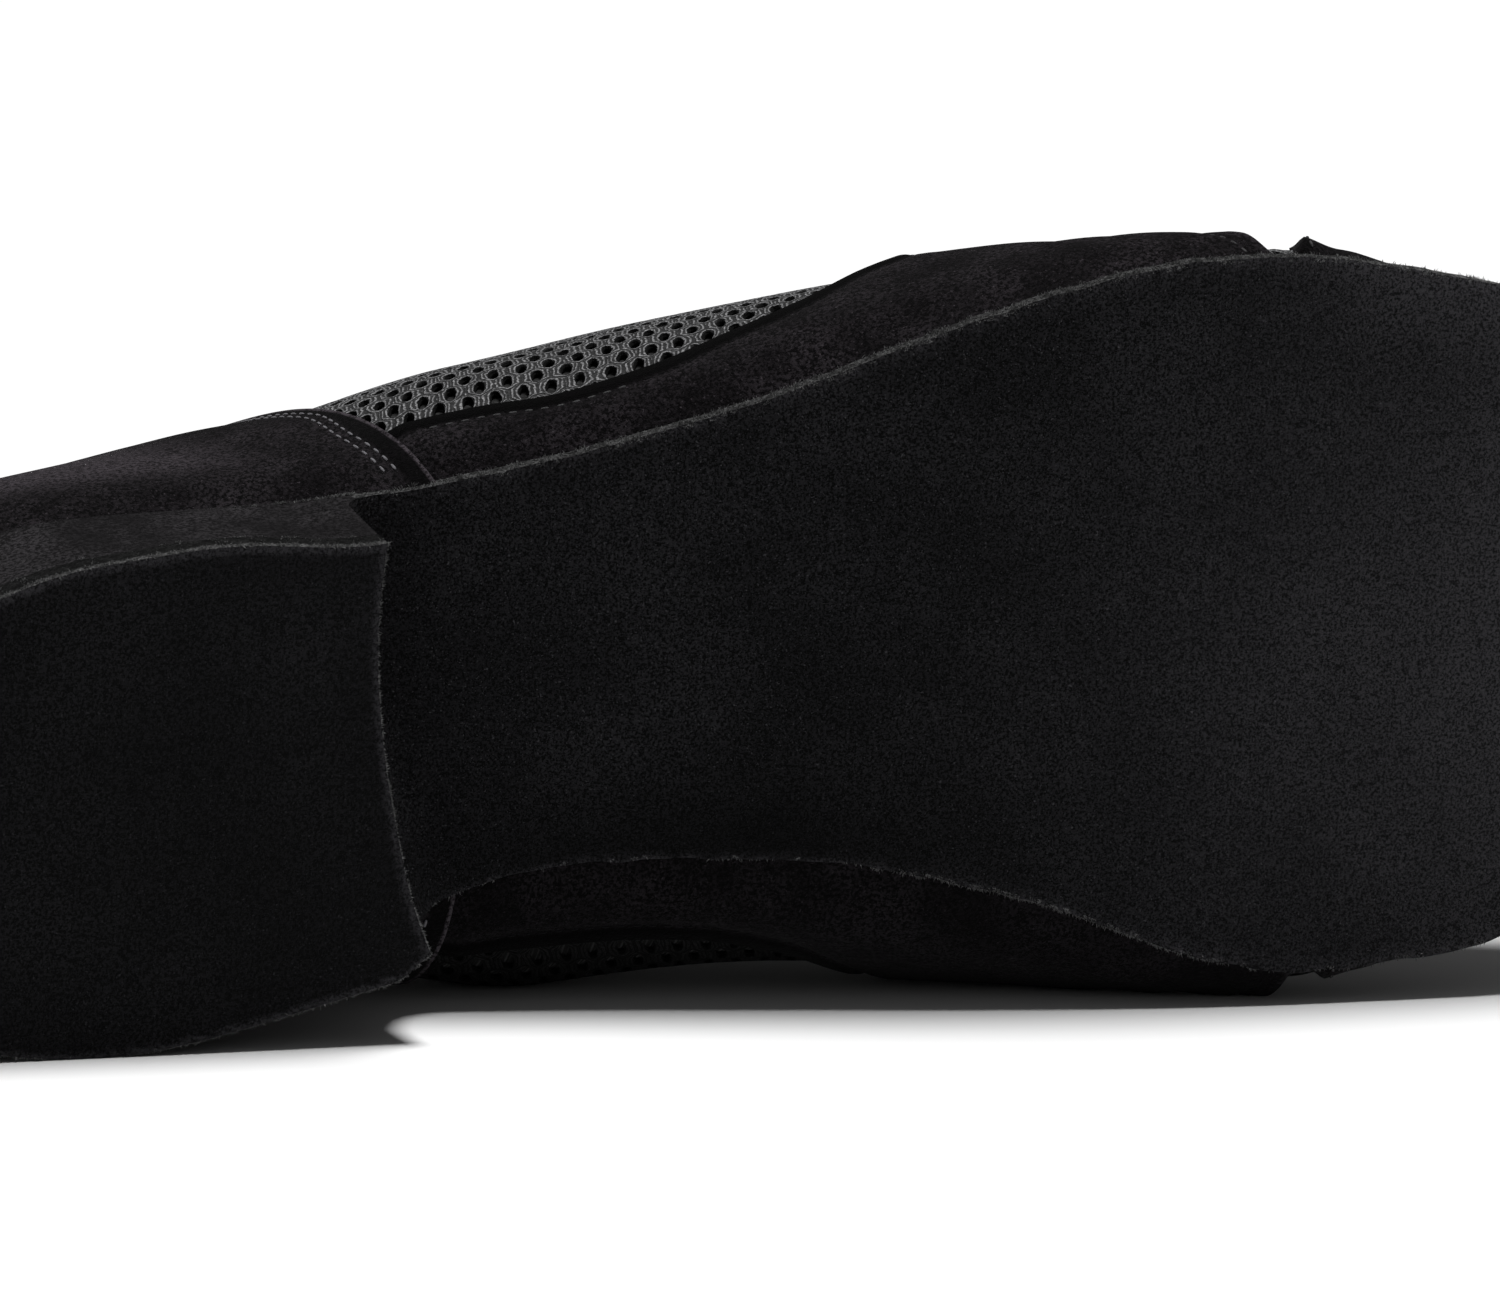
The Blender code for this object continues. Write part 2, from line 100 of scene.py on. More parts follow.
UPPER_ROWS = (
    (0.00, 0.0, 0.0, 20.0, 20.0, 80.0, 0.0, 0.0, 0.0, 20.0, -4.5, -2.0, 6.0),
    (0.05, 1.5, 2.0, 19.0, 19.0, 79.0, 10.5, 15.0, 16.0, 20.0, -3.0, -1.5, 3.0),
    (0.14, 3.0, 5.0, 18.0, 16.0, 75.0, 16.0, 21.5, 25.0, 20.0, -1.0, 0.0, 1.0),
    (0.25, 6.0, 15.0, 16.0, 10.0, 69.0, 21.5, 27.5, 31.0, 18.0, 0.0, 0.0, 0.0),
    (0.36, 12.0, 36.0, 16.0, 5.0, 71.0, 23.5, 33.0, 35.5, 18.0, 0.0, 0.0, 0.0),
    (0.46, 11.0, 36.0, 17.0, 6.0, 84.0, 15.5, 34.0, 34.0, 20.0, 0.0, 0.0, 0.0),
    (0.56, 5.0, 30.5, 20.0, 9.0, 73.0, 11.0, 37.5, 36.0, 15.0, 0.0, 0.0, 0.0),
    (0.65, 2.5, 18.0, 14.0, 10.0, 60.0, 8.5, 35.0, 34.0, 11.0, 0.0, 0.0, 0.0),
    (0.74, 0.5, 9.0, 10.0, 9.0, 49.0, 8.0, 27.0, 30.0, 3.0, 0.0, 0.0, 0.0),
    (0.84, 0.2, 3.0, 9.0, 8.0, 38.0, 0.0, 21.0, 23.0, 2.0, 0.5, 0.0, 0.0),
    (0.93, 0.2, 1.0, 8.0, 8.0, 30.0, 0.0, 15.0, 17.0, 1.0, 1.0, -1.0, -4.0),
    (1.00, 0.0, 0.0, 7.0, 7.0, 24.5, 0.0, 0.0, 0.0, 0.5, 2.0, -3.0, -14.0),
)
BAND_COLUMNS = ("at", "outer", "inner")
BAND_ROWS = (
    (0.20, 0.19, 0.135),
    (0.30, 0.187, 0.135),
    (0.34, 0.167, 0.125),
    (0.38, 0.144, 0.125),
    (0.42, 0.152, 0.13),
    (0.46, 0.186, 0.16),
    (0.50, 0.232, 0.25),
    (0.53, 0.298, 0.42),
    (0.55, 0.332, 0.60),
    (0.57, 0.45, 0.82),
    (0.60, 0.82, 0.82),
    (0.72, 0.82, 0.82),
)

# Camera, fitted to the photo in the standing shoe's frame
CAMERA_RIGHT = np.array([0.9363, 0.0424, -0.3486])
CAMERA_UP = np.array([0.1400, -0.9554, 0.2601])
CAMERA_BACK = np.array([-0.3220, -0.2923, -0.9005])
CAMERA_TARGET = np.array([140.0, 0.0, 8.0])
CAMERA_SHIFT = (-22.42, 1.32)
CAMERA_DISTANCE = 1100.0
FOCAL_PIXELS = 9258.5
IMAGE_WIDTH = 1500.0
SENSOR_WIDTH = 36.0


# The last, as functions of a signed angle round the shoe and a height

def turn(at):
    return np.arccos(np.clip(1.0 - 2.0 * np.asarray(at, float), -1.0, 1.0))


def station(angle):
    return (1.0 - np.cos(angle)) / 2.0


def cubic(t, low, high, low_slope, high_slope, width):
    return ((2 * t ** 3 - 3 * t ** 2 + 1) * low + (t ** 3 - 2 * t ** 2 + t) * low_slope * width
            + (3 * t ** 2 - 2 * t ** 3) * high + (t ** 3 - t ** 2) * high_slope * width)


def smooth(xs, ys):
    """Cubic through the points that never runs past a row; level at the ends, unless it runs out to 0."""
    xs, ys = np.asarray(xs, float), np.asarray(ys, float)
    step = np.diff(xs)
    slope = np.diff(ys) / step
    tangent = np.zeros(len(xs))
    for i in range(1, len(xs) - 1):
        before, after = slope[i - 1], slope[i]
        if before * after > 0:
            tangent[i] = 3 * (step[i - 1] + step[i]) / ((2 * step[i] + step[i - 1]) / before
                                                        + (step[i] + 2 * step[i - 1]) / after)
    tangent[0] = 0.0 if ys[0] else slope[0]
    tangent[-1] = 0.0 if ys[-1] else slope[-1]

    def value(x):
        x = np.clip(np.asarray(x, float), xs[0], xs[-1])
        k = np.clip(np.searchsorted(xs, x, side="right") - 1, 0, len(xs) - 2)
        return cubic((x - xs[k]) / step[k], ys[k], ys[k + 1], tangent[k], tangent[k + 1], step[k])

    return value


def read(columns, rows):
    curves = {name: smooth(turn([row[0] for row in rows]), [row[i] for row in rows])
              for i, name in enumerate(columns)}
    return {name: (lambda at, curve=curve: curve(turn(at))) for name, curve in curves.items()}


sole_at = read(SOLE_COLUMNS, SOLE_ROWS)
upper_at = read(UPPER_COLUMNS, UPPER_ROWS)
band_at = read(BAND_COLUMNS, BAND_ROWS)


def throat_half(at):
    closing = np.clip((VAMP_POINT - at) / THROAT_ROUND, 0.0, 1.0)
    return upper_at["half"](at) * np.sqrt(1.0 - (1.0 - closing) ** 2)


def last(angle, v):
    """The upper's outside. The angle runs from 0 at the heel to pi at the toe, negative on the outer side."""
    angle, v = np.broadcast_arrays(np.asarray(angle, float), np.asarray(v, float))
    at = station(angle)
    inner = np.sin(angle) >= 0
    row = {name: curve(at) for name, curve in upper_at.items() if name != "half"}

    def pick(name):
        return np.where(inner, row[name + "_inner"], row[name + "_outer"])

    edge = np.where(inner, sole_at["inner"](at), sole_at["outer"](at))
    edge = np.maximum(0.0, edge - sole_at["inset"](at))
    low = sole_at["tread"](at) + SOLE + GAP
    x = at * LENGTH - sole_at["inset"](at) * at ** 16
    xs = (x, x + row["lean_flank"], x + row["lean_crown"], x + row["lean_top"])
    ys = (edge, edge + pick("flank"), pick("crown"), throat_half(at))
    zs = (low, low + pick("rise"), row["top"] - row["drop"], row["top"])
    weights = ((1 - v) ** 3, 3 * v * (1 - v) ** 2, 3 * v ** 2 * (1 - v), v ** 3)
    px, py, pz = (sum(w * h for w, h in zip(weights, hs)) for hs in (xs, ys, zs))
    return np.stack([px, np.where(inner, py, -py), pz], axis=-1)


def unit(vectors):
    return vectors / np.maximum(np.linalg.norm(vectors, axis=-1, keepdims=True), 1e-9)


CREST = 0.985  # normals are taken no higher than this
V_STEP = 0.01


def skin_normal(angle, v):
    """Outward normals, over longer steps at the heel and toe, where the angle runs across the shoe."""
    angle, v = np.broadcast_arrays(np.asarray(angle, float), np.minimum(np.asarray(v, float), CREST))
    step = 0.02 + 0.08 * np.exp(-(np.sin(angle) / 0.1) ** 2)
    along = last(angle + step, v) - last(angle - step, v)
    up = last(angle, v + V_STEP) - last(angle, v - V_STEP)
    return unit(np.cross(up, along))


def skin(angle, v, off=0.0):
    """A point that far outside the upper."""
    return last(angle, v) + skin_normal(angle, v) * np.asarray(off, float)[..., None]


def counter_front(v):
    return 0.311 - 0.055 * v


def saddle_front(v):
    return 0.697 - 0.08 * np.minimum(v, 0.15) - 0.02 * np.maximum(0.0, v - 0.15)


def cap_rear(v):
    return 0.7045 + 0.06 * np.clip(v, 0.0, 0.25) + 0.10 * np.maximum(0.0, v - 0.2) ** 1.2


def across(at, share):
    return share * np.where(share < 0, sole_at["outer"](at), sole_at["inner"](at))


def breast_at(share):
    return BREAST - BREAST_HOLLOW * (1.0 - share ** 2) + BREAST_FORWARD * rise(share, -1.0, 0.45)


def flare(x, share):
    """How far the heel stands out past the sole's edge; it fades out ahead of the breast."""
    return share * np.where(share > 0, HEEL_FLARE_INNER, HEEL_FLARE_OUTER) * (1 - rise(x, BREAST, BREAST + FLARE_FADE))


# From the standing shoe to the shoe on the floor

def rotation(axis, degrees):
    return np.array(Matrix.Rotation(math.radians(degrees), 3, axis))


LIE_TURN = rotation("Y", -LIE_PITCH) @ rotation("X", -LIE_ROLL)


def laid(points):
    return (np.asarray(points, float) @ LIE_TURN.T + np.array(LIE_SHIFT)) * MM


REST = 0.00005


def on_floor(points):
    """The same, with what would sink into the floor pressed flat on it."""
    places = laid(points)
    places[:, 2] = np.maximum(places[:, 2], REST)
    return places


# Meshes


def bump_at(x, centre, width):
    return np.exp(-((x - centre) / width) ** 2)


def rise(x, low, high):
    t = np.clip((x - low) / (high - low), 0.0, 1.0)
    return t * t * (3 - 2 * t)


def crowded(share, power):
    """Shares from -1 to 1, drawn closer together towards both ends."""
    return np.sign(share) * (1 - (1 - np.abs(share)) ** power)


def grid_faces(rows, columns, first=0):
    index = np.arange(rows * columns).reshape(rows, columns) + first
    return np.stack([index[:-1, :-1], index[:-1, 1:], index[1:, 1:], index[1:, :-1]], axis=-1).reshape(-1, 4)


def added(name, data):
    made = bpy.data.objects.new(name, data)
    bpy.context.scene.collection.objects.link(made)
    return made


def ring_faces(rings, sides, count=1):
    """Quads round a stack of rings, for that many bodies."""
    k = np.arange(sides)
    n = (k + 1) % sides
    quad = np.stack([k, n, sides + n, sides + k], axis=-1)
    body = (quad + np.arange(rings - 1)[:, None, None] * sides).reshape(-1, 4)
    return (body + np.arange(count)[:, None, None] * rings * sides).reshape(-1, 4)


def piece(name, points, faces, looks, node=None, slot=None, values=None, weld=0.0, inside=None):
    """An object that rides with the shoe; values are numbers at its points that its material can read."""
    mesh = bpy.data.meshes.new(name)
    mesh.from_pydata(on_floor(points).tolist(), [], [list(map(int, face)) for face in faces])
    for key, numbers in (values or {}).items():
        layer = mesh.attributes.new(key, "FLOAT", "POINT")
        layer.data.foreach_set("value", np.asarray(numbers, np.float32).ravel())
    built = bmesh.new()
    built.from_mesh(mesh)
    if weld:
        bmesh.ops.remove_doubles(built, verts=built.verts, dist=weld * MM)
        bmesh.ops.dissolve_degenerate(built, edges=built.edges, dist=weld * MM * 0.5)
        bmesh.ops.recalc_face_normals(built, faces=built.faces)
    if inside is not None:
        middle = Vector(laid(inside))
        score = sum(face.normal.dot(face.calc_center_median() - middle) * face.calc_area()
                    for face in built.faces)
        if score < 0:
            bmesh.ops.reverse_faces(built, faces=built.faces)
    built.to_mesh(mesh)
    built.free()
    made = added(name, mesh)
    for look in looks:
        mesh.materials.append(look)
    mesh.shade_smooth()
    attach(made, "root")
    if node:
        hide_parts(*node)
    return made


def settle(made, sharp=48.0):
    """Applies the modifiers and marks the sharp edges."""
    graph = bpy.context.evaluated_depsgraph_get()
    mesh = bpy.data.meshes.new_from_object(made.evaluated_get(graph), preserve_all_data_layers=True,
                                           depsgraph=graph)
    made.modifiers.clear()
    made.data = mesh
    mesh.shade_smooth()
    mesh.set_sharp_from_angle(angle=math.radians(sharp))
    return made


def rounded(made, levels):
    smoothing = made.modifiers.new("round", "SUBSURF")
    smoothing.levels = smoothing.render_levels = levels


def unmarked(shape):
    """Values for suede with no painted shade, darker lap, wear or painted highlight."""
    return {key: np.zeros(shape) for key in ("painted_shade_and_dark_laps", "wear_and_painted_highlight")}


def sheet(name, grid, thickness, looks, node, slot, values=None, inside=MIDDLE, holes=()):
    """A sheet of that thickness under a grid of points, with its cut edge in the second material and holes punched."""
    rows, columns = grid.shape[:2]
    made = piece(name, grid.reshape(-1, 3), grid_faces(rows, columns), looks, node, slot,
                 values, weld=0.02, inside=inside)
    solid = made.modifiers.new("thickness", "SOLIDIFY")
    solid.thickness = thickness * MM
    solid.offset = -1.0
    solid.use_even_offset = False
    solid.material_offset_rim = 1
    for punch in holes:
        cut = made.modifiers.new("hole", "BOOLEAN")
        cut.object = punch
        cut.solver = "EXACT"
    settle(made)
    for punch in holes:
        bpy.data.objects.remove(punch)
    return made


def lengths(grid, axis):
    """Distance along the grid from its first row or column."""
    steps = np.linalg.norm(np.diff(grid, axis=axis), axis=-1)
    zero = np.zeros_like(np.take(steps, [0], axis=axis))
    return np.concatenate([zero, np.cumsum(steps, axis=axis)], axis=axis)


def normals(grid):
    along = np.gradient(grid, axis=0)
    up = np.gradient(grid, axis=1)
    return unit(np.cross(up, along))


def seam_line(grid, distance, wanted, axis):
    """Points and normals where a distance reaches a value, one for each row (axis 1) or column (axis 0)."""
    facing = normals(grid)
    points, directions = [], []
    for i in range(grid.shape[1 - axis]):
        line, face, far = (np.take(field, i, axis=1 - axis) for field in (grid, facing, distance))
        order = np.argsort(far)
        if far.max() >= wanted:
            points.append(sample(wanted, far[order], line[order]))
            directions.append(sample(wanted, far[order], face[order]))
    return np.array(points), unit(np.array(directions))


def sample(s, length, values):
    """Values that are known along a line, at other places on it."""
    return np.stack([np.interp(s, length, values[:, k]) for k in range(3)], axis=-1)


def along_line(points, directions, pitch):
    """Evenly spaced places on a line: points, directions along it and normals."""
    length = lengths(points, 0)
    places = np.arange(pitch / 2, length[-1], pitch)
    ahead = unit(sample(places + 0.4, length, points) - sample(places - 0.4, length, points))
    return sample(places, length, points), ahead, unit(sample(places, length, directions))


STITCH_WIDTH = 0.34
STITCH_SINK = 0.02
CAPSULE_RINGS = ((-0.5, 0.0), (-0.42, 0.7), (-0.2, 1.0), (0.2, 1.0), (0.42, 0.7), (0.5, 0.0))
CAPSULE_SIDES = 7


def capsules(places, ahead, facing, length):
    """Stitches: a rounded body at each place, along the seam and sunk by half."""
    turned = 2 * math.pi * np.arange(CAPSULE_SIDES)[:, None] / CAPSULE_SIDES
    along, round_off = np.array(CAPSULE_RINGS).T[:, :, None, None]
    place, x, y, z = (field[:, None, None] for field in (places, ahead, np.cross(facing, ahead), facing))
    points = (place + x * along * length + y * np.cos(turned) * round_off * STITCH_WIDTH / 2
              + z * np.sin(turned) * round_off * STITCH_WIDTH / 2)
    return points.reshape(-1, 3), ring_faces(len(CAPSULE_RINGS), CAPSULE_SIDES, len(places))


def fibres(places, facing, spread, low, high, radius):
    """Short tapering hairs that stand out of a raw edge, each a thin three-sided spike with a bend."""
    count = len(places)
    lean = unit(facing + rng.normal(0.0, spread, (count, 3)))
    bend = unit(lean + rng.normal(0.0, spread * 0.8, (count, 3)))
    length = rng.uniform(low, high, count)[:, None]
    side = unit(np.cross(lean, rng.normal(0.0, 1.0, (count, 3))))
    other = np.cross(lean, side)
    points, faces = [], []
    for ring, share in ((0.0, 1.0), (0.5, 0.8)):
        for k in range(3):
            turned = 2 * math.pi * k / 3
            points.append(places + lean * length * ring
                          + (side * math.cos(turned) + other * math.sin(turned)) * radius * share)
    points.append(places + lean * length * 0.5 + bend * length * 0.5)
    points = np.stack(points, axis=1)
    for i in range(count):
        a = i * 7
        for k in range(3):
            n = (k + 1) % 3
            faces.append((a + k, a + n, a + 3 + n, a + 3 + k))
            faces.append((a + 3 + k, a + 3 + n, a + 6))
    return points.reshape(-1, 3), faces


def tube(line, radius, sides=12):
    """A round closed body along a line."""
    ahead = unit(np.gradient(line, axis=0))
    side = unit(np.cross(ahead, np.array([1.0, 0.2, 0.1])))
    turned = np.linspace(0.0, 2 * math.pi, sides, endpoint=False)[:, None]
    ring = line[:, None] + (side[:, None] * np.cos(turned) + np.cross(ahead, side)[:, None] * np.sin(turned)) * radius
    ends = [list(range(sides))[::-1], [(len(line) - 1) * sides + k for k in range(sides)]]
    return ring.reshape(-1, 3), ring_faces(len(line), sides).tolist() + ends


# Materials

class Look:
    """A material with a Principled shader and a few helpers to add nodes."""

    def __init__(self, name, **constant):
        self.made = bpy.data.materials.new(name)
        self.made.use_nodes = True
        self.tree = self.made.node_tree
        self.shader = self.tree.nodes["Principled BSDF"]
        self.place = self.add("ShaderNodeTexCoord").outputs["Object"]
        for key, value in constant.items():
            self.shader.inputs[key.replace("_", " ")].default_value = value

    def add(self, kind, settings=None, **inputs):
        node = self.tree.nodes.new(kind)
        for key, value in (settings or {}).items():
            setattr(node, key, value)
        for key, value in inputs.items():
            self.put(node.inputs[int(key[1:])] if key[1:].isdigit() else node.inputs[key.replace("_", " ")], value)
        return node

    def put(self, socket, value):
        if isinstance(value, bpy.types.NodeSocket):
            self.tree.links.new(value, socket)
        else:
            socket.default_value = value

    def noise(self, scale, detail=3.0, roughness=0.55):
        return self.add("ShaderNodeTexNoise", Vector=self.place, Scale=scale, Detail=detail,
                        Roughness=roughness).outputs["Fac"]

    def ramp(self, value, low, high, to_low=0.0, to_high=1.0):
        return self.add("ShaderNodeMapRange", {"interpolation_type": "SMOOTHSTEP"}, Value=value, From_Min=low,
                        From_Max=high, To_Min=to_low, To_Max=to_high).outputs["Result"]

    def math(self, how, first, second):
        return self.add("ShaderNodeMath", {"operation": how}, i0=first, i1=second).outputs[0]

    def times(self, first, second):
        return self.math("MULTIPLY", first, second)

    def plus(self, first, second):
        return self.math("ADD", first, second)

    def mix(self, share, first, second):
        node = self.add("ShaderNodeMix", {"data_type": "RGBA"}, i0=share, i6=first, i7=second)
        return node.outputs[2]

    def value(self, name):
        return self.add("ShaderNodeAttribute", {"attribute_name": name}).outputs["Fac"]

    def finish(self, colour, height=None, distance=0.0, strength=1.0):
        """Sets the colour and a bump of that height."""
        self.put(self.shader.inputs["Base Color"], colour)
        if height is not None:
            bump = self.add("ShaderNodeBump", Height=height, Distance=distance, Strength=strength)
            self.put(self.shader.inputs["Normal"], bump.outputs["Normal"])
        return self.made


def grey(level, tint=(1.0, 1.0, 1.0)):
    return (level * tint[0], level * tint[1], level * tint[2], 1.0)


SUEDE_TINT = (1.10, 0.95, 1.08)
SOLE_TINT = (1.0, 0.97, 1.06)


def suede(name, dark, light, tint, nap, patch, sheen, hairs=0.5, depth=0.00025, uneven=0.75):
    """Napped leather: fine grain, soft patches where the nap lies another way, and pale loose hairs; darker under
    painted shade and on laps, paler under wear and painted highlights.
    """
    look = Look(name, Sheen_Weight=sheen, Sheen_Roughness=0.45, Specular_IOR_Level=0.04, Roughness=0.95)
    grain = look.noise(nap, 4.0, 0.75)
    fine = look.noise(nap * 2.7, 2.0, 0.6)
    lie = look.ramp(look.noise(patch, 4.0, 0.6), 0.36, 0.66)
    body = look.times(look.ramp(grain, 0.43, 0.59), look.plus(look.times(lie, uneven), 1.0 - uneven))
    colour = look.mix(body, grey(dark, tint), grey(light, tint))
    hair = look.ramp(look.noise(nap * 1.3, 2.0, 0.5), 0.62, 0.78, 0.0, hairs)
    colour = look.mix(hair, colour, grey(light * 3.2, tint))
    # Darker for painted shade and for laps, from the first value; paler for wear and painted highlights, from the
    # second.
    colour = look.mix(look.value("painted_shade_and_dark_laps"), colour, grey(dark * 0.5, tint))
    lightened = look.times(look.value("wear_and_painted_highlight"), look.ramp(grain, 0.40, 0.60, 0.15, 1.3))
    colour = look.mix(lightened, colour, grey(light * 2.6, tint))
    return look.finish(colour, look.plus(grain, look.times(fine, 0.6)), depth)


def raw_edge(name, dark, light, lightened_gain=1.3):
    """The cut edge of leather: torn fibres, paler than the face."""
    look = Look(name, Specular_IOR_Level=0.1, Roughness=1.0)
    torn = look.noise(3000.0, 5.0, 0.75)
    broken = look.noise(800.0, 3.0, 0.65)
    share = look.times(look.ramp(torn, 0.40, 0.64), look.ramp(broken, 0.34, 0.60, 0.2, 1.0))
    colour = look.mix(share, grey(dark), grey(light))
    # Paler for wear and painted highlights, from the first value; darker for painted shade, from the second.
    lightened = look.times(look.ramp(look.value("wear_and_painted_highlight"), 0.58, 0.84), look.ramp(torn, 0.42, 0.56))
    colour = look.mix(lightened, colour, grey(light * lightened_gain))
    colour = look.mix(look.value("painted_shade_and_dark_laps"), colour, grey(dark * 0.25))
    return look.finish(colour, torn, 0.0004)


def fabric(name, dark, light, pitch):
    """Plain woven or knitted cloth, by two crossed waves."""
    look = Look(name, Sheen_Weight=0.15, Roughness=0.92, Specular_IOR_Level=0.15)
    scale = 2 * math.pi / (pitch * MM) / 20.0
    weave = look.times(*(look.add("ShaderNodeTexWave", {"bands_direction": way}, Vector=look.place, Scale=scale,
                                  Distortion=0.6).outputs["Fac"] for way in ("X", "DIAGONAL")))
    shade = look.times(weave, look.ramp(look.noise(90.0), 0.3, 0.7, 0.6, 1.0))
    return look.finish(look.mix(shade, grey(dark), grey(light)), weave, 0.0003, 0.7)


STRANDS = 2.0


def yarn(name, dark, light):
    """Mesh yarn: strands that run round each hole, from the value the mesh carries."""
    look = Look(name, Sheen_Weight=0.02, Roughness=0.8, Specular_IOR_Level=0.08)
    ring = look.value("ring")
    stray = look.times(look.math("SUBTRACT", look.noise(600.0, 2.0), 0.5), 0.8)
    wave = look.math("SINE", look.times(look.plus(ring, stray), 2 * math.pi * STRANDS), 0.0)
    strand = look.ramp(wave, -0.5, 0.7)
    fuzz = look.noise(2600.0, 3.0, 0.7)
    share = look.times(look.plus(look.times(strand, 0.9), 0.1), look.ramp(fuzz, 0.38, 0.64, 0.2, 1.0))
    colour = look.mix(share, grey(dark), grey(light, (1.0, 1.0, 1.02)))
    # Painted shade: darker on the inner side low down, where the shoe lies towards the floor.
    colour = look.mix(look.times(look.value("shade"), 0.95), colour, grey(dark * 0.15))
    # Painted shade down inside each hole.
    colour = look.mix(look.ramp(ring, 0.02, -0.12), colour, grey(dark * 0.06))
    return look.finish(colour, look.plus(strand, look.times(fuzz, 0.5)), 0.00022)


def thread(name, level, gloss=0.35):
    look = Look(name, Sheen_Weight=gloss * 0.5, Roughness=0.6, Specular_IOR_Level=gloss)
    twist = look.noise(5200.0, 2.0)
    return look.finish(look.mix(twist, grey(level * 0.6, SOLE_TINT), grey(level * 1.3, SOLE_TINT)), twist, 0.0002)


UPPER_SUEDE = suede("upper_suede", 0.0014, 0.0230, SUEDE_TINT, 2100.0, 90.0, 0.03)
SOLE_SUEDE = suede("sole_suede", 0.0018, 0.0300, SOLE_TINT, 3000.0, 60.0, 0.02, hairs=1.0, depth=0.0005,
                   uneven=0.45)
HEEL_SUEDE = suede("heel_suede", 0.0055, 0.0370, (1.05, 0.98, 1.05), 2000.0, 90.0, 0.02, hairs=0.2, depth=0.0003)
TOP_SUEDE = suede("top_piece_suede", 0.0026, 0.0140, SOLE_TINT, 2600.0, 45.0, 0.02, hairs=0.7, depth=0.0004,
                  uneven=0.5)
SOLE_EDGE = raw_edge("sole_cut_edge", 0.005, 0.14)
PANEL_EDGE = raw_edge("panel_cut_edge", 0.012, 0.09)
DARK_EDGE = raw_edge("dark_cut_edge", 0.004, 0.012)
CAP_EDGE = raw_edge("cap_cut_edge", 0.008, 0.075)
TOP_EDGE = raw_edge("top_piece_cut_edge", 0.002, 0.024, 6.0)
FUZZ = raw_edge("loose_fibres", 0.06, 0.30)
LINING = fabric("lining_cloth", 0.006, 0.030, 0.6)
YARN = yarn("mesh_yarn", 0.010, 0.30)
BINDING = fabric("collar_cloth", 0.008, 0.026, 0.5)
PALE_THREAD = thread("pale_thread", 0.15)
DARK_THREAD = thread("dark_thread", 0.019)
BLACK_THREAD = thread("black_thread", 0.004, 0.03)
LACE_CLOTH = fabric("lace_weave", 0.006, 0.020, 0.9)

stitch_sets = {"pale": [], "dark": [], "black": []}


def sew(kind, line, pitch=1.9, length=1.0):
    """Adds a row of stitches along a seam line."""
    places, ahead, facing = along_line(*line, pitch)
    up = STITCH_WIDTH / 2 - STITCH_SINK - STITCH_WIDTH * 0.3
    stitch_sets[kind].append(capsules(places + facing * up, ahead, facing, length))


def seam(distance, place, depth, puff, reach, width=0.8):
    """How a sewn lap rises and falls: a groove under the thread, and fuller leather behind it."""
    return puff * rise(distance, place, place + reach) - depth * bump_at(distance, place, width)


# Upper: lining, open mesh and collar

LOW_EDGE = -0.025
LAP = OVERLAY_GAP + OVERLAY
LINING_IN = 0.95


def tucked(v, off, foot, reach):
    """Draws a panel's lower edge in, to sit on the sole."""
    share = rise(v, LOW_EDGE, reach)
    return off * share + foot * (1 - share)


def build_lining():
    angle = np.linspace(-math.pi, math.pi, 281)[:, None]
    v = np.linspace(LOW_EDGE, 1.0, 45)[None, :]
    sheet("upper_lining", skin(angle, v, -LINING_IN), WALL - LINING_IN, [LINING, LINING], ["upper"], "lining")


MESH_PITCH = 3.4
MESH_ROW = 3.6
MESH_LEAN = 0.30
MESH_HOLE = (0.69, 1.88)
CELL_SIDES = 12
# Rings of a mesh cell: share of the way from the hole's rim to the cell's border, height, value for the yarn; below 0,
# down the hole, the yarn takes painted shade
MESH_RINGS = ((-0.06, -0.70, -0.5), (0.0, 0.02, 0.0), (0.20, 0.14, 0.2), (0.55, 0.17, 0.55), (1.0, 0.05, 1.0))
TABLE_AT = np.linspace(0.22, 0.86, 161)
TABLE_V = np.linspace(-0.03, 1.0, 201)
TABLE_STEP = 0.5


def mesh_table(side, from_top):
    """Height v for a distance below the top line, or above the sole, at each station of the table."""
    heights = TABLE_V[::-1] if from_top else TABLE_V
    far = lengths(last(side * turn(TABLE_AT)[:, None], heights[None, :]), 1)
    places = np.arange(0.0, 140.0, TABLE_STEP)
    return np.stack([np.interp(places, row, heights) for row in far]), far[:, -1]


def look_up(table, at, distance):
    i = np.clip((at - TABLE_AT[0]) / (TABLE_AT[1] - TABLE_AT[0]), 0, len(TABLE_AT) - 1.001)
    j = np.clip(distance / TABLE_STEP, 0, table.shape[1] - 1.001)
    a, b = i.astype(int), j.astype(int)
    p, q = i - a, j - b
    return ((1 - p) * (1 - q) * table[a, b] + p * (1 - q) * table[a + 1, b]
            + (1 - p) * q * table[a, b + 1] + p * q * table[a + 1, b + 1])


def quarter_shows(at, v, side):
    """Where the quarter's mesh isn't covered by suede, with a little to spare under the edges."""
    band = np.where(side == OUTER, band_at["outer"](at), band_at["inner"](at))
    covered = ((at > THROAT_TOP + 0.02) & (v > SADDLE_TOP + 0.05)) | ((at > THROAT_TOP - 0.002) & (v > 0.93))
    return (at > counter_front(v) - 0.010) & (at < 0.61) & (v > band - 0.035) & (v < 0.985) & ~covered


def vamp_shows(at, v, side):
    """The same for the vamp, between saddle, eyestay and toe cap."""
    gap = (at > saddle_front(v) - 0.012) & (at < cap_rear(v) + 0.012)
    ahead_of_stay = (at > VAMP_POINT - 0.018) & (at < cap_rear(v)) & (v > SADDLE_TOP - 0.03)
    return (gap | ahead_of_stay) & ~((at < VAMP_POINT) & (v > 0.985))


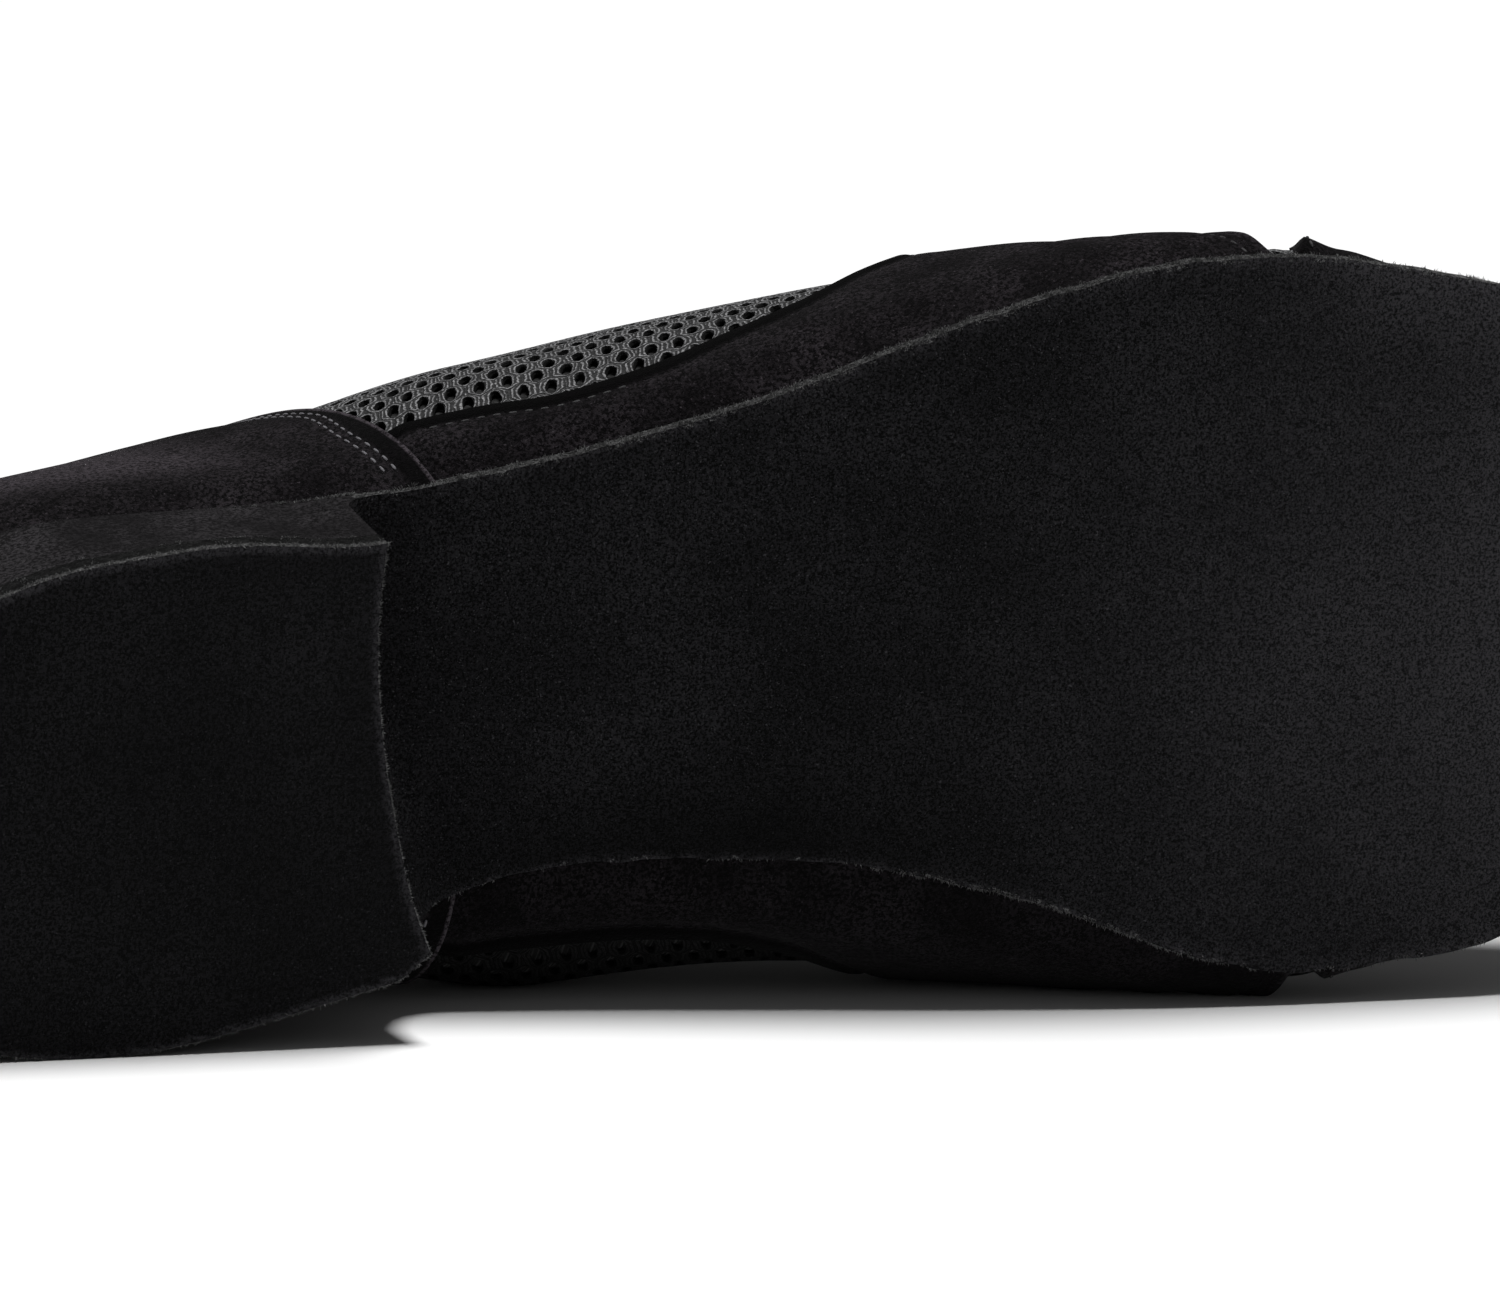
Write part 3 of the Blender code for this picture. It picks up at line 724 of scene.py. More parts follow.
def mesh_cloth(shows, sides, from_top, lean):
    """Open mesh: a ring of yarn round each hole, in rows along the foot; points, yarn values and painted shade of each
    cell.
    """
    tables = {side: mesh_table(side, from_top) for side in (OUTER, INNER)}
    rows = np.arange(-42, 43)
    rows = rows[[(OUTER if row < 0 else INNER) in sides for row in rows]]
    centres = np.array([(s + (0.5 * MESH_PITCH if row % 2 else 0.0), row * MESH_ROW)
                        for row in rows for s in np.arange(0.0, TABLE_AT[-1] * LENGTH, MESH_PITCH)])

    def place(flat, off):
        at = np.clip((flat[..., 0] + lean * np.abs(flat[..., 1])) / LENGTH, TABLE_AT[0], TABLE_AT[-1])
        inner = flat[..., 1] >= 0
        distance = np.abs(flat[..., 1])
        v = np.where(inner, *(look_up(tables[which][0], at, distance) for which in (INNER, OUTER)))
        angle = np.where(inner, turn(at), -turn(at))
        full = 0.6 * bump_at(at, 0.709, 0.022) * bump_at(v, 0.09, 0.10)
        return skin(angle, v, off + full), at, v, np.where(inner, INNER, OUTER)

    _, at, v, side = place(centres, np.zeros(len(centres)))
    reach = np.where(side == INNER, *(np.interp(at, TABLE_AT, tables[which][1]) for which in (INNER, OUTER)))
    centres = centres[shows(at, v, side) & (np.abs(centres[:, 1]) < reach - 0.5)]
    turned = np.arange(CELL_SIDES) * math.pi / 6
    circle = np.stack([np.cos(turned), np.sin(turned)], axis=-1)
    border = circle * np.where(np.arange(CELL_SIDES) % 2, 1.0, math.sqrt(3.0) / 2.0)[:, None]
    border = border * [MESH_PITCH / math.sqrt(3.0), MESH_ROW * 2.0 / 3.0]
    hole = circle * (MESH_HOLE * rng.normal(1.0, 0.05, (len(centres), 1, 2)))
    hole = hole + rng.normal(0.0, 0.07, (len(centres), 1, 2)) + rng.normal(0.0, 0.04, (len(centres), CELL_SIDES, 2))
    points, rings = [], []
    for share, height, ring in MESH_RINGS:
        flat = centres[:, None, :] + hole + (border - hole) * share
        points.append(place(flat, np.full(flat.shape[:2], height))[0])
        rings.append(np.full(flat.shape[:2], ring))
    points, rings = np.stack(points, axis=1), np.stack(rings, axis=1)
    # The third value is painted shade, 1 on the inner side low down.
    return points, rings, rise(points[..., 1], 5.0, 30.0) * (1 - rise(points[..., 2], 30.0, 60.0))


def build_mesh():
    cloths = [mesh_cloth(quarter_shows, (side,), False, MESH_LEAN) for side in (OUTER, INNER)]
    cloths.append(mesh_cloth(vamp_shows, (OUTER, INNER), True, 0.0))
    points, rings, shade = (np.concatenate([cloth[k] for cloth in cloths]) for k in (0, 1, 2))
    faces = ring_faces(len(MESH_RINGS), CELL_SIDES, len(points)).reshape(len(points), -1, CELL_SIDES, 4)
    piece("upper_mesh", points.reshape(-1, 3), faces.swapaxes(0, 1).reshape(-1, 4), [YARN], ["upper"], "mesh",
          {"ring": rings, "shade": shade}, weld=0.03, inside=MIDDLE)


COLLAR_STEPS = 181
COLLAR_SECTION = [(1.5, -4.2), (1.62, -2.0), (1.6, 0.1), (1.15, 1.0), (0.3, 1.35), (-0.6, 1.2), (-1.3, 0.4),
                  (-1.5, -1.0), (-1.45, -4.2), (-0.2, -4.4)]


def build_collar():
    """Cloth binding over the top line, from one end of the throat round the heel to the other."""
    ends = turn(THROAT_TOP + 0.004)
    angle = np.linspace(-ends, ends, COLLAR_STEPS)
    middle, facing = skin(angle, 1.0, -0.8), skin_normal(angle, 0.97)
    up = unit(last(angle, 1.0) - last(angle, 0.96))
    loop = np.stack([middle + facing * a + up * b for a, b in COLLAR_SECTION + COLLAR_SECTION[:1]], axis=1)
    count = len(COLLAR_SECTION)
    faces = list(grid_faces(COLLAR_STEPS, count + 1))
    faces += [[first + k for k in range(count)] for first in (0, (COLLAR_STEPS - 1) * (count + 1))]
    made = piece("collar_binding", loop.reshape(-1, 3), faces, [BINDING], None, "lining", weld=0.02)
    rounded(made, 1)
    settle(made, 80.0)


# Suede panels; seams are given by their distance from the panel's edge

COUNTER_SEAMS = (3.1, 4.5)
COUNTER_SEWN = 0.036  # the stitches stop at this height above the sole
SADDLE_SEAM = 2.1
SADDLE_FRONT_SEAM = 3.0
SADDLE_GREY_THREAD_END = 108.0  # behind this place the thread shows grey
STAY_SEAM = 1.8
STAY_OFF = LAP + 0.7
CAP_SEAM = 2.6


def from_ends(grid):
    """Distance from the nearer end of each row."""
    far = lengths(grid, 0)
    return np.minimum(far, far[-1:] - far)


def halves(grid):
    half = grid.shape[0] // 2
    return slice(0, half), slice(half + 1, None)


def build_counter():
    share = crowded(np.linspace(-1.0, 1.0, 301)[:, None], 1.5)
    v = np.concatenate([np.linspace(LOW_EDGE, 0.06, 12)[:-1], np.linspace(0.06, 0.97, 60)])[None, :]
    angle = turn(counter_front(v)) * share
    behind = from_ends(skin(angle, v, LAP))
    narrow = 1.7 * rise(v, 0.2, 0.42)
    first, second = COUNTER_SEAMS
    relief = seam(behind + narrow, first, 0.25, 0.55, 8.0) - 0.20 * bump_at(behind + narrow, second, 0.5)
    side_dent = bump_at(behind, 17.0, 7.0) * bump_at(v, 0.30, 0.16) * 0.5
    grid = skin(angle, v, tucked(v, LAP + relief - side_dent, 0.9, 0.10))
    # Darker lap strip by the edge; painted highlight: a pale line along the front edge and a lighter band up the
    # sides, where light grazes the suede.
    values = {"painted_shade_and_dark_laps": 0.85 * (1 - rise(behind + narrow, 2.4, 3.4)),
              "wear_and_painted_highlight": 1 - rise(behind, 0.25, 0.6)
              + 0.65 * rise(behind, 9.0, 30.0) * rise(v, 0.06, 0.27) * (1 - rise(v, 0.50, 0.85))}
    sheet("counter_suede", grid, OVERLAY, [UPPER_SUEDE, PANEL_EDGE], ["heel_counter"], "suede", values)
    from_front = from_ends(grid) + narrow
    sewn = v[0] > COUNTER_SEWN
    for part in halves(grid):
        for place in COUNTER_SEAMS:
            sew("pale", seam_line(grid[part][:, sewn], from_front[part][:, sewn], place, 0), 1.85, 1.05)


def build_saddle(word, side):
    columns, rows = 221, 61
    share = np.linspace(0.0, 1.0, columns)[:, None]
    part = np.linspace(0.0, 1.0, rows)[None, :] ** 1.25
    v = 0.4 * part
    for _ in range(8):
        rear = turn(counter_front(v) - 0.02)
        front = turn(saddle_front(v))
        at = station(rear + (front - rear) * share)
        v = LOW_EDGE + part * (np.minimum(band_at[word](at), SADDLE_TOP + 0.035) - LOW_EDGE)
    angle = side * turn(at)
    flat = skin(angle, v, LAP)
    below = lengths(flat[:, ::-1], 1)[:, ::-1]
    behind = lengths(flat[::-1], 0)[::-1]
    lap = 1 - rise(at, 0.545, 0.600)
    relief = lap * seam(below, SADDLE_SEAM, 0.26, 0.45, 5.0) + (1 - lap) * 0.45
    relief = relief - 0.28 * bump_at(behind, SADDLE_FRONT_SEAM, 0.8) * rise(v, 0.02, 0.1)
    lift = 0.45 * np.exp(-behind / 3.0) * bump_at(v, 0.14, 0.12)
    rear_peak = 0.7 * (1 - rise(below, 0.0, 9.0)) * bump_at(at, 0.552, 0.022)
    under = -0.9 * (1 - rise(at, counter_front(v) - 0.004, counter_front(v) + 0.010))
    flex = -0.5 * bump_at(at + 0.10 * v, 0.665, 0.008) - 0.4 * bump_at(at + 0.06 * v, 0.635, 0.010)
    relief = relief + lift + rear_peak + flex * rise(v, 0.02, 0.2) + under
    grid = skin(angle, v, tucked(v, LAP + relief, 0.25, 0.12))
    # Darker lap strip below the seam, and painted shade over the lower inner side, which lies towards the floor; paler
    # along the front edge.
    values = {"painted_shade_and_dark_laps": np.maximum(lap * (1 - rise(below, 1.5, 2.4)), 0.5 * (side == INNER) * (1 - rise(v, 0.3, 0.6))),
              "wear_and_painted_highlight": 0.20 * (1 - rise(behind, 0.0, 1.2))}
    sheet("saddle_suede_" + word, grid, OVERLAY, [UPPER_SUEDE, DARK_EDGE], ["saddle_" + word], "suede", values)
    grid, below, behind = (field[::-side] for field in (grid, below, behind))
    points, facing = seam_line(grid, below, SADDLE_SEAM, 1)
    lightened = points[:, 0] < SADDLE_GREY_THREAD_END
    keep = points[:, 0] > counter_front(0.2) * LENGTH + 4.0
    # Painted shade: stitches on the inner side are black thread.
    kind = "dark" if side == OUTER else "black"
    sew(kind, (points[keep & lightened], facing[keep & lightened]))
    sew("black", (points[~lightened], facing[~lightened]))
    sew(kind, seam_line(grid, behind, SADDLE_FRONT_SEAM, 0))


def eyelet_at(number):
    return THROAT_TOP + 0.03 + (VAMP_POINT - THROAT_ROUND - THROAT_TOP - 0.035) * number / (EYELETS - 1)


def punch(at, side):
    """A short cylinder through the eyestay, to cut an eyelet with."""
    angle, v = np.array([side * turn(at)]), np.array([EYELET_ROW - 0.02])
    axis = skin_normal(angle, v)[0]
    points, faces = tube(skin(angle, v)[0] + axis * np.array([[-1.0], [5.0]]), EYELET_RADIUS, 20)
    mesh = bpy.data.meshes.new("punch")
    mesh.from_pydata(laid(points).tolist(), [], faces)
    return added("punch", mesh)


def build_eyestay(word, side):
    at = np.linspace(THROAT_TOP + 0.005, VAMP_POINT - 0.012, 121)[:, None]
    v = np.linspace(SADDLE_TOP + 0.005, 0.985, 25)[None, :]
    angle = side * turn(at)
    flat = skin(angle, v, STAY_OFF)
    up = lengths(flat, 1)
    edge = np.minimum(np.minimum(up, up[:, -1:] - up), np.minimum(lengths(flat, 0), lengths(flat[::-1], 0)[::-1]))
    grid = skin(angle, v, STAY_OFF + seam(edge, STAY_SEAM, 0.18, 0.25, 2.5, 0.6))
    values = {"painted_shade_and_dark_laps": 0.6 * (1 - rise(edge, 1.3, 2.2)), "wear_and_painted_highlight": np.zeros_like(edge)}
    sheet("eyestay_suede_" + word, grid, OVERLAY, [UPPER_SUEDE, DARK_EDGE], ["eyestay_" + word], "suede", values,
          holes=[punch(eyelet_at(number), side) for number in range(EYELETS)])
    grid = grid[::-side]
    up = lengths(grid, 1)
    for far in (up, up[:, -1:] - up):
        sew("dark", seam_line(grid, far, STAY_SEAM, 1))


CROWN_ROUNDS = 200


def crowned(grid, soft):
    """Evens out the cap where its columns meet at the crest, then lays a fitted dome over that spot."""
    for _ in range(CROWN_ROUNDS):
        over = np.concatenate([grid[:, 1:], grid[::-1, -2:-1]], axis=1)
        under = np.concatenate([grid[:, :1], grid[:, :-1]], axis=1)
        beside = np.concatenate([grid[1:], grid[-1:]]) + np.concatenate([grid[:1], grid[:-1]])
        grid = grid + soft * ((over + under + beside) / 4.0 - grid)
    x, y = grid[..., 0] - grid[len(grid) // 2, -1, 0], grid[..., 1]
    terms = np.stack([np.ones_like(x), x, x * x, y, y * y, x * y * y], axis=-1)
    reach = np.hypot(x, y)
    ring = (reach > 4.5) & (reach < 9.5)
    dome = terms @ np.linalg.lstsq(terms[ring], grid[..., 2][ring], rcond=None)[0]
    grid[..., 2] += (1 - rise(reach, 3.5, 7.5)) * (dome - grid[..., 2])
    return grid


def build_cap():
    share = crowded(np.linspace(-1.0, 1.0, 241)[:, None], 1.4)
    v = LOW_EDGE + (1.0 - LOW_EDGE) * np.linspace(0.0, 1.0, 91)[None, :] ** 1.3
    angle = math.pi + (math.pi - turn(cap_rear(v))) * share
    ahead = from_ends(skin(angle, v, LAP))
    low = bump_at(v, 0.09, 0.12)
    lift = 0.95 * (1 - rise(ahead, 0.8, 6.0)) * bump_at(v, 0.09, 0.10) * np.where(share > 0, 1.0, 0.3)
    dent = 0.5 * bump_at(ahead, 14.0, 8.0) * bump_at(v, 0.55, 0.2)
    relief = seam(ahead, CAP_SEAM, 0.28 * (1 - low), 0.3, 6.0) + lift - dent
    toe = rise(ahead, 1.0, 22.0)
    roll = (LAP + relief - 0.5) * (1 - rise(ahead, -0.3, 1.3)) * low
    grid = skin(angle, v, tucked(v, LAP + relief - roll, 0.2, 0.05 + 0.26 * toe))
    grid[:, -1] = (grid[:, -1] + grid[::-1, -1]) / 2.0
    grid[:, -1, 1] = 0.0
    grid = crowned(grid, 0.5 * (bump_at(share, 0.0, 0.18) * rise(v, 0.74, 0.90))[..., None])
    values = {"painted_shade_and_dark_laps": 0.5 * (1 - rise(ahead, 1.8, 3.0)), "wear_and_painted_highlight": 0.15 * (1 - rise(ahead, 0.0, 1.0))}
    sheet("toe_cap_suede", grid, OVERLAY, [UPPER_SUEDE, CAP_EDGE], ["toe_cap"], "suede", values)
    far = from_ends(grid)
    for part in halves(grid):
        sew("dark", seam_line(grid[part], far[part], CAP_SEAM, 0))


# Sole and heel

fuzz_sets = []


def hairy_edge(low, high, outward, per_mm, short, long, spread=0.45, radius=0.055):
    """Scatters fibres between two edge lines of the same count of points, standing out in a direction."""
    outward = np.broadcast_to(outward, low.shape)
    length = lengths(low, 0)
    count = int(length[-1] * per_mm)
    tufts = rng.uniform(0.0, length[-1], max(1, count // 8))
    s = np.clip(tufts[rng.integers(0, len(tufts), count)] + rng.normal(0.0, 0.25, count), 0.0, length[-1])
    across_edge = rng.uniform(0.0, 1.0, count)[:, None]
    places = sample(s, length, low) * (1 - across_edge) + sample(s, length, high) * across_edge
    fuzz_sets.append(fibres(places, unit(sample(s, length, outward)), spread, short, long, radius))


def wander(x, seed, size):
    """A smooth uneven line, from a few waves."""
    local = np.random.default_rng(seed)
    waves = [(local.uniform(0.15, 1.3), local.uniform(0, 6.28), local.uniform(0.3, 1.0)) for _ in range(7)]
    return size * sum(a * np.sin(f * x + p) for f, p, a in waves) / 3.0


def edge_y(x, share):
    """Sideways place at a share of the sole's width, with the heel's flare."""
    return across(x / LENGTH, np.full(len(x), share)) + flare(x, share)


def flap(share):
    """Radius of the bend at the breast, the flap's front, and the tread's height where the bend starts."""
    bend = BEND_OUTER + (BEND_INNER - BEND_OUTER) * (share + 1.0) / 2.0
    front = breast_at(share)
    return bend, front, sole_at["tread"]((front + bend) / LENGTH)


# Fibres per mm on stretches of the sole's edge: from and to, as shares of its length, on the outer and inner side
EDGE_FIBRES = ((0.0, 0.51, 15.0, 3.0), (0.51, 0.66, 17.0, 26.0), (0.66, 1.0, 15.0, 7.0))
TIP_START = 0.04
ABOVE_SOLE = (162.0, 0.0, 400.0)


def sole_line(share):
    """From the tip of the toe back to the breast, round the bend and down the flap."""
    bend, front, top = flap(share)
    at = station(np.linspace(math.pi - TIP_START, turn((front + bend) / LENGTH), 200))
    corner = np.linspace(0.0, math.pi / 2, 15)[1:]
    x = np.concatenate([at * LENGTH, front + bend * (1.0 - np.sin(corner)), np.full(9, front)])
    z = np.concatenate([sole_at["tread"](at), top - bend * (1.0 - np.cos(corner))])
    z = np.concatenate([z, np.linspace(z[-1], TOP_PIECE + 0.02, 10)[1:]])
    edge = abs(share) ** 12
    uneven = np.sign(share) * edge * wander(x, 3 if share < 0 else 4, 0.16)
    y = edge_y(x, share) + uneven * rise(x, BREAST + 6.0, BREAST + 20.0) * (1 - rise(x, 245.0, 256.0))
    y = y + corner_cut(x, share) * low_down(x, z)
    z = z + 0.10 * np.sin(x * 0.21 + 3.0 * share) * rise(x, 150.0, 200.0) * (1 - edge)
    return np.stack([x, y, z], axis=-1)


def trim_sole(made):
    """Keeps the sheet inside the toe's end and the heel's sides, and gives the flap's edges the heel's suede."""
    places = np.empty(3 * len(made.data.vertices))
    made.data.vertices.foreach_get("co", places)
    stood = (places.reshape(-1, 3) / MM - np.array(LIE_SHIFT)) @ LIE_TURN
    stood[:, 0] = np.minimum(stood[:, 0], LENGTH)
    x, z = stood[:, 0], stood[:, 2]
    for side in (OUTER, INNER):
        limit = np.abs(edge_y(x, float(side))) + 0.04 + side * corner_cut(x, float(side)) * low_down(x, z)
        over = (x < BREAST + 12.0) & (side * stood[:, 1] > limit)
        stood[over, 1] = side * limit[over]
    made.data.vertices.foreach_set("co", on_floor(stood).ravel())
    made.data.update()
    for face in made.data.polygons:
        if face.material_index == 1 and x[face.vertices[0]] < BREAST + 0.6 * BEND_OUTER:
            face.material_index = 2


def build_outsole():
    shares = np.linspace(-1.0, 1.0, 61)
    grid = np.stack([sole_line(share) for share in shares])
    at = grid[..., 0] / LENGTH
    side = np.abs(shares)[:, None] * np.ones_like(at)
    ball = bump_at(at, 0.80, 0.16) * bump_at(grid[..., 1], 4.0, 40.0)
    bend = 1 - rise(grid[..., 0], BREAST + 3.0, BREAST + BEND_INNER + 5.0)
    # Painted shade: darker over the waist and towards its inner edge, which lies by the floor. Painted highlight:
    # paler over the ball, the forefoot and the outer forefoot edge. Paler flecks along the cut edges.
    values = {"painted_shade_and_dark_laps": 0.25 * bump_at(at, 0.52, 0.10) * (1 - side)
              + 0.75 * rise(shares[:, None], 0.1, 0.95) * bump_at(at, 0.43, 0.13),
              "wear_and_painted_highlight": 0.42 * ball + 0.22 * rise(at, 0.72, 0.88) + 0.15 * rise(at, 0.86, 0.98)
              + 0.40 * rise(at, 0.66, 0.78) * rise(-shares[:, None], 0.70, 1.0)
              + 0.5 * rng.uniform(0.1, 1.0, at.shape) * rise(side, 0.95, 1.0) * (1 - bend)}
    trim_sole(sheet("sole_suede", grid, SOLE, [SOLE_SUEDE, SOLE_EDGE, HEEL_SUEDE], ["outsole"], "sole_suede", values,
                    inside=ABOVE_SOLE))
    for edge, side in ((grid[0], OUTER), (grid[-1], INNER)):
        edge = edge[edge[:, 0] > BREAST + BEND_OUTER]
        away = np.array([0.0, side, -0.25])
        for first, end, *per_mm in EDGE_FIBRES:
            per_mm = per_mm[side == INNER]
            line = edge[(edge[:, 0] >= first * LENGTH - 1.0) & (edge[:, 0] < end * LENGTH)]
            hairy_edge(line + [0.0, -side * 0.05, 0.0], line + [0.0, -side * 0.1, SOLE * 0.9], away, per_mm, 0.2, 0.75)
            hairy_edge(line + [0.0, -side * 0.1, 0.0], line + [0.0, -side * 0.5, 0.0], away + [0.0, 0.0, -0.8],
                       per_mm / 3.0, 0.1, 0.4)


def corner_cut(x, share):
    """How the heel's outer edge swells and both edges draw in to the front corners, low down at the tread."""
    outer = rise(x, 55.0, BREAST) - 0.8 * bump_at(x, 50.0, 9.0)
    inner = 1.6 * rise(x, BREAST - 2.0, BREAST + 2.6)
    return np.maximum(0.0, -np.asarray(share)) * outer - np.maximum(0.0, np.asarray(share)) * inner


def low_down(x, z):
    """1 at the top piece, 0 at the seat."""
    seat = sole_at["tread"](x / LENGTH) + SOLE
    return np.clip((seat - z) / (seat - TOP_PIECE), 0.0, 1.0) * (x < BREAST + 3.0)


def heel_grid(share, row, level, back):
    """A grid over the heel at a level, or at its seat for None, up to that far behind the breast's front."""
    at = station(turn((breast_at(share) - back) / LENGTH) * row)
    z = sole_at["tread"](at) + SOLE if level is None else level + 0.0 * at
    wider = np.abs(share) * np.where(share > 0, HEEL_FLARE_INNER, HEEL_FLARE_OUTER) / across(0.14, np.float64(1.0))
    y = across(at, share) * (1.0 + wider) + corner_cut(at * LENGTH, share) * (z <= TOP_PIECE)
    return np.stack([at * LENGTH, y, z], axis=-1)


def block(name, low, high, looks, node, slot, values):
    """A closed body between two grids; its walls take the second material."""
    rows, columns = low.shape[:2]
    count = rows * columns
    faces = [grid_faces(rows, columns), grid_faces(rows, columns, count)]
    index = np.arange(count).reshape(rows, columns)
    for line in (index[0], index[-1], index[:, 0], index[:, -1]):
        faces.append(np.stack([line[:-1], line[1:], line[1:] + count, line[:-1] + count], axis=-1))
    made = piece(name, np.concatenate([low.reshape(-1, 3), high.reshape(-1, 3)]), np.concatenate(faces), looks, node,
                 slot, values, weld=0.02)
    down = LIE_TURN @ np.array([0.0, 0.0, -1.0])
    for face in made.data.polygons:
        face.material_index = 0 if abs(np.dot(face.normal, down)) > 0.6 else len(looks) - 1
    made.data.set_sharp_from_angle(angle=math.radians(40.0))


def build_heel():
    row, share = np.meshgrid(np.linspace(0.0, 1.0, 61), np.linspace(-1.0, 1.0, 33), indexing="ij")
    low, high = (heel_grid(share, row, level, SOLE - 0.5) for level in (TOP_PIECE, None))
    block("heel_cover", low, high, [HEEL_SUEDE], ["heel"], "heel_suede", unmarked(2 * row.size))
    corner = []
    arc = np.linspace(0.0, math.pi / 2, 12)
    for side in np.linspace(-1.0, 1.0, 25):
        bend, front, top = flap(side)
        x = np.concatenate([front + bend - (bend + SOLE) * np.cos(arc), [front - SOLE - 1.0, front - SOLE - 1.0]])
        z = np.concatenate([top - bend + (bend + SOLE) * np.sin(arc), [top + SOLE, top - bend]])
        corner.append(np.stack([x, edge_y(x, side), z], axis=-1))
    loop = np.stack([np.concatenate([ring, ring[:1]]) for ring in corner])
    rows, count = loop.shape[:2]
    faces = list(grid_faces(rows, count))
    faces += [list(range(count - 1))[::-1], [(rows - 1) * count + k for k in range(count - 1)]]
    x = np.linspace(BREAST - 16.0, BREAST + BEND_OUTER, 20)
    seat = np.stack([x, edge_y(x, -1.0), sole_at["tread"](x / LENGTH) + SOLE - 1.0], axis=-1)
    for first, per_mm in ((0, 4.0), (9, 8.0), (13, 12.0)):
        hairy_edge(seat[first:], seat[first:] + [0.0, 0.0, 0.4], [0.0, -1.0, 0.2], per_mm, 0.15, 0.5)
    hairy_edge(low[:, 0], low[:, 0] + [0.0, 0.0, 0.2], [0.0, -1.0, -0.3], 3.0, 0.1, 0.4)
    piece("heel_cover_front", loop.reshape(-1, 3), faces, [HEEL_SUEDE], None, "heel_suede",
          unmarked(loop.shape[:2]), weld=0.02)


def build_top_piece():
    row, share = np.meshgrid(1 - np.linspace(1.0, 0.0, 81) ** 1.5, np.linspace(-1.0, 1.0, 61), indexing="ij")
    share = crowded(share, 1.4)
    low, high = (heel_grid(share, row, level, 0.0) for level in (0.0, TOP_PIECE))
    ragged = rng.uniform(-0.006, 0.010, row.shape)
    near = np.maximum(rise(np.abs(share) + ragged, 0.960 + 0.012 * (share > 0), 0.985 + 0.006 * (share > 0)),
                      rise(row + ragged * 0.2, 0.991, 0.999))
    near[0] = 0.0
    lighter = 0.10 * rise(row, 0.55, 0.95) * rise(-share, -0.4, 0.9)
    wear_and_painted_highlight = np.concatenate([(near * rng.uniform(0.8, 1.0, row.shape) + lighter).ravel(), np.zeros(row.size)])
    block("heel_top_suede", low, high, [TOP_SUEDE, TOP_EDGE], ["heel_top_piece"], "sole_suede",
          {"painted_shade_and_dark_laps": np.zeros(2 * row.size), "wear_and_painted_highlight": wear_and_painted_highlight})
    for edge, out in ((low[:, 0], [0.0, -1.0, -0.4]), (low[:, -1], [0.0, 1.0, -0.4]), (low[-1], [1.0, 0.0, -0.5])):
        hairy_edge(edge, edge + [0.0, 0.0, 0.5], out, 12.0, 0.12, 0.6, 0.8)
        hairy_edge(edge, edge + [0.0, 0.0, 0.9], np.multiply(out, 0.5) - [0.0, 0.0, 0.7], 14.0, 0.15, 0.7, 0.9, 0.065)
        hairy_edge(edge, edge + [0.0, 0.0, TOP_PIECE], out, 5.0, 0.1, 0.4)


# Inside, tongue and lace

def build_insole():
    inset = WALL + 2.0
    row, share = np.meshgrid(np.linspace(0.0, math.pi, 121), np.linspace(-1.0, 1.0, 33), indexing="ij")
    at = station(row)
    x = inset + at * (LENGTH - 2.0 * inset)
    y = across(at, share) * (1.0 - inset / 30.0)
    base = sole_at["tread"](x / LENGTH) + SOLE + GAP
    low = np.stack([x, y, base], axis=-1)
    high = np.stack([x, y, base + INSOLE * (0.86 + 0.14 * np.abs(share) ** 3)], axis=-1)
    block("insole_cloth", low, high, [LINING], ["insole"], "lining", {})


def tongue_row(at):
    under = np.full(3, -(WALL + 0.9))
    v = np.array([0.80, 0.88, 0.96])
    outer = skin(-turn(np.full(3, at)), v, under)
    inner = skin(turn(np.full(3, at)), v[::-1], under)
    crest = (outer[-1] + inner[0]) / 2.0
    crest[2] += 0.16 * (inner[0][1] - outer[-1][1]) / 2.0
    middle = [outer[-1] + (crest - outer[-1]) * 0.55, crest, inner[0] + (crest - inner[0]) * 0.55]
    return np.concatenate([outer, middle, inner])


def build_tongue():
    grid = [tongue_row(at) for at in np.linspace(THROAT_TOP + 0.004, VAMP_POINT + 0.045, 16)]
    lift = np.array([-TONGUE_REACH, 0.0, 0.30 * TONGUE_REACH])
    ends = [grid[0] * [1.0, 1.0 - 0.35 * share, 1.0] + lift * share for share in (1.0, 0.5)]
    grid = np.stack(ends + grid)
    made = piece("tongue_suede", grid.reshape(-1, 3), grid_faces(*grid.shape[:2]), [UPPER_SUEDE], ["tongue"], "suede",
                 unmarked(grid.shape[:2]), weld=0.02, inside=MIDDLE)
    rounded(made, 2)
    solid = made.modifiers.new("thickness", "SOLIDIFY")
    solid.thickness = TONGUE * MM
    solid.offset = -1.0
    settle(made)


def on_side(at, v, side, off):
    return skin(np.array([side * turn(at)]), np.array([v]), np.array([off]))[0]


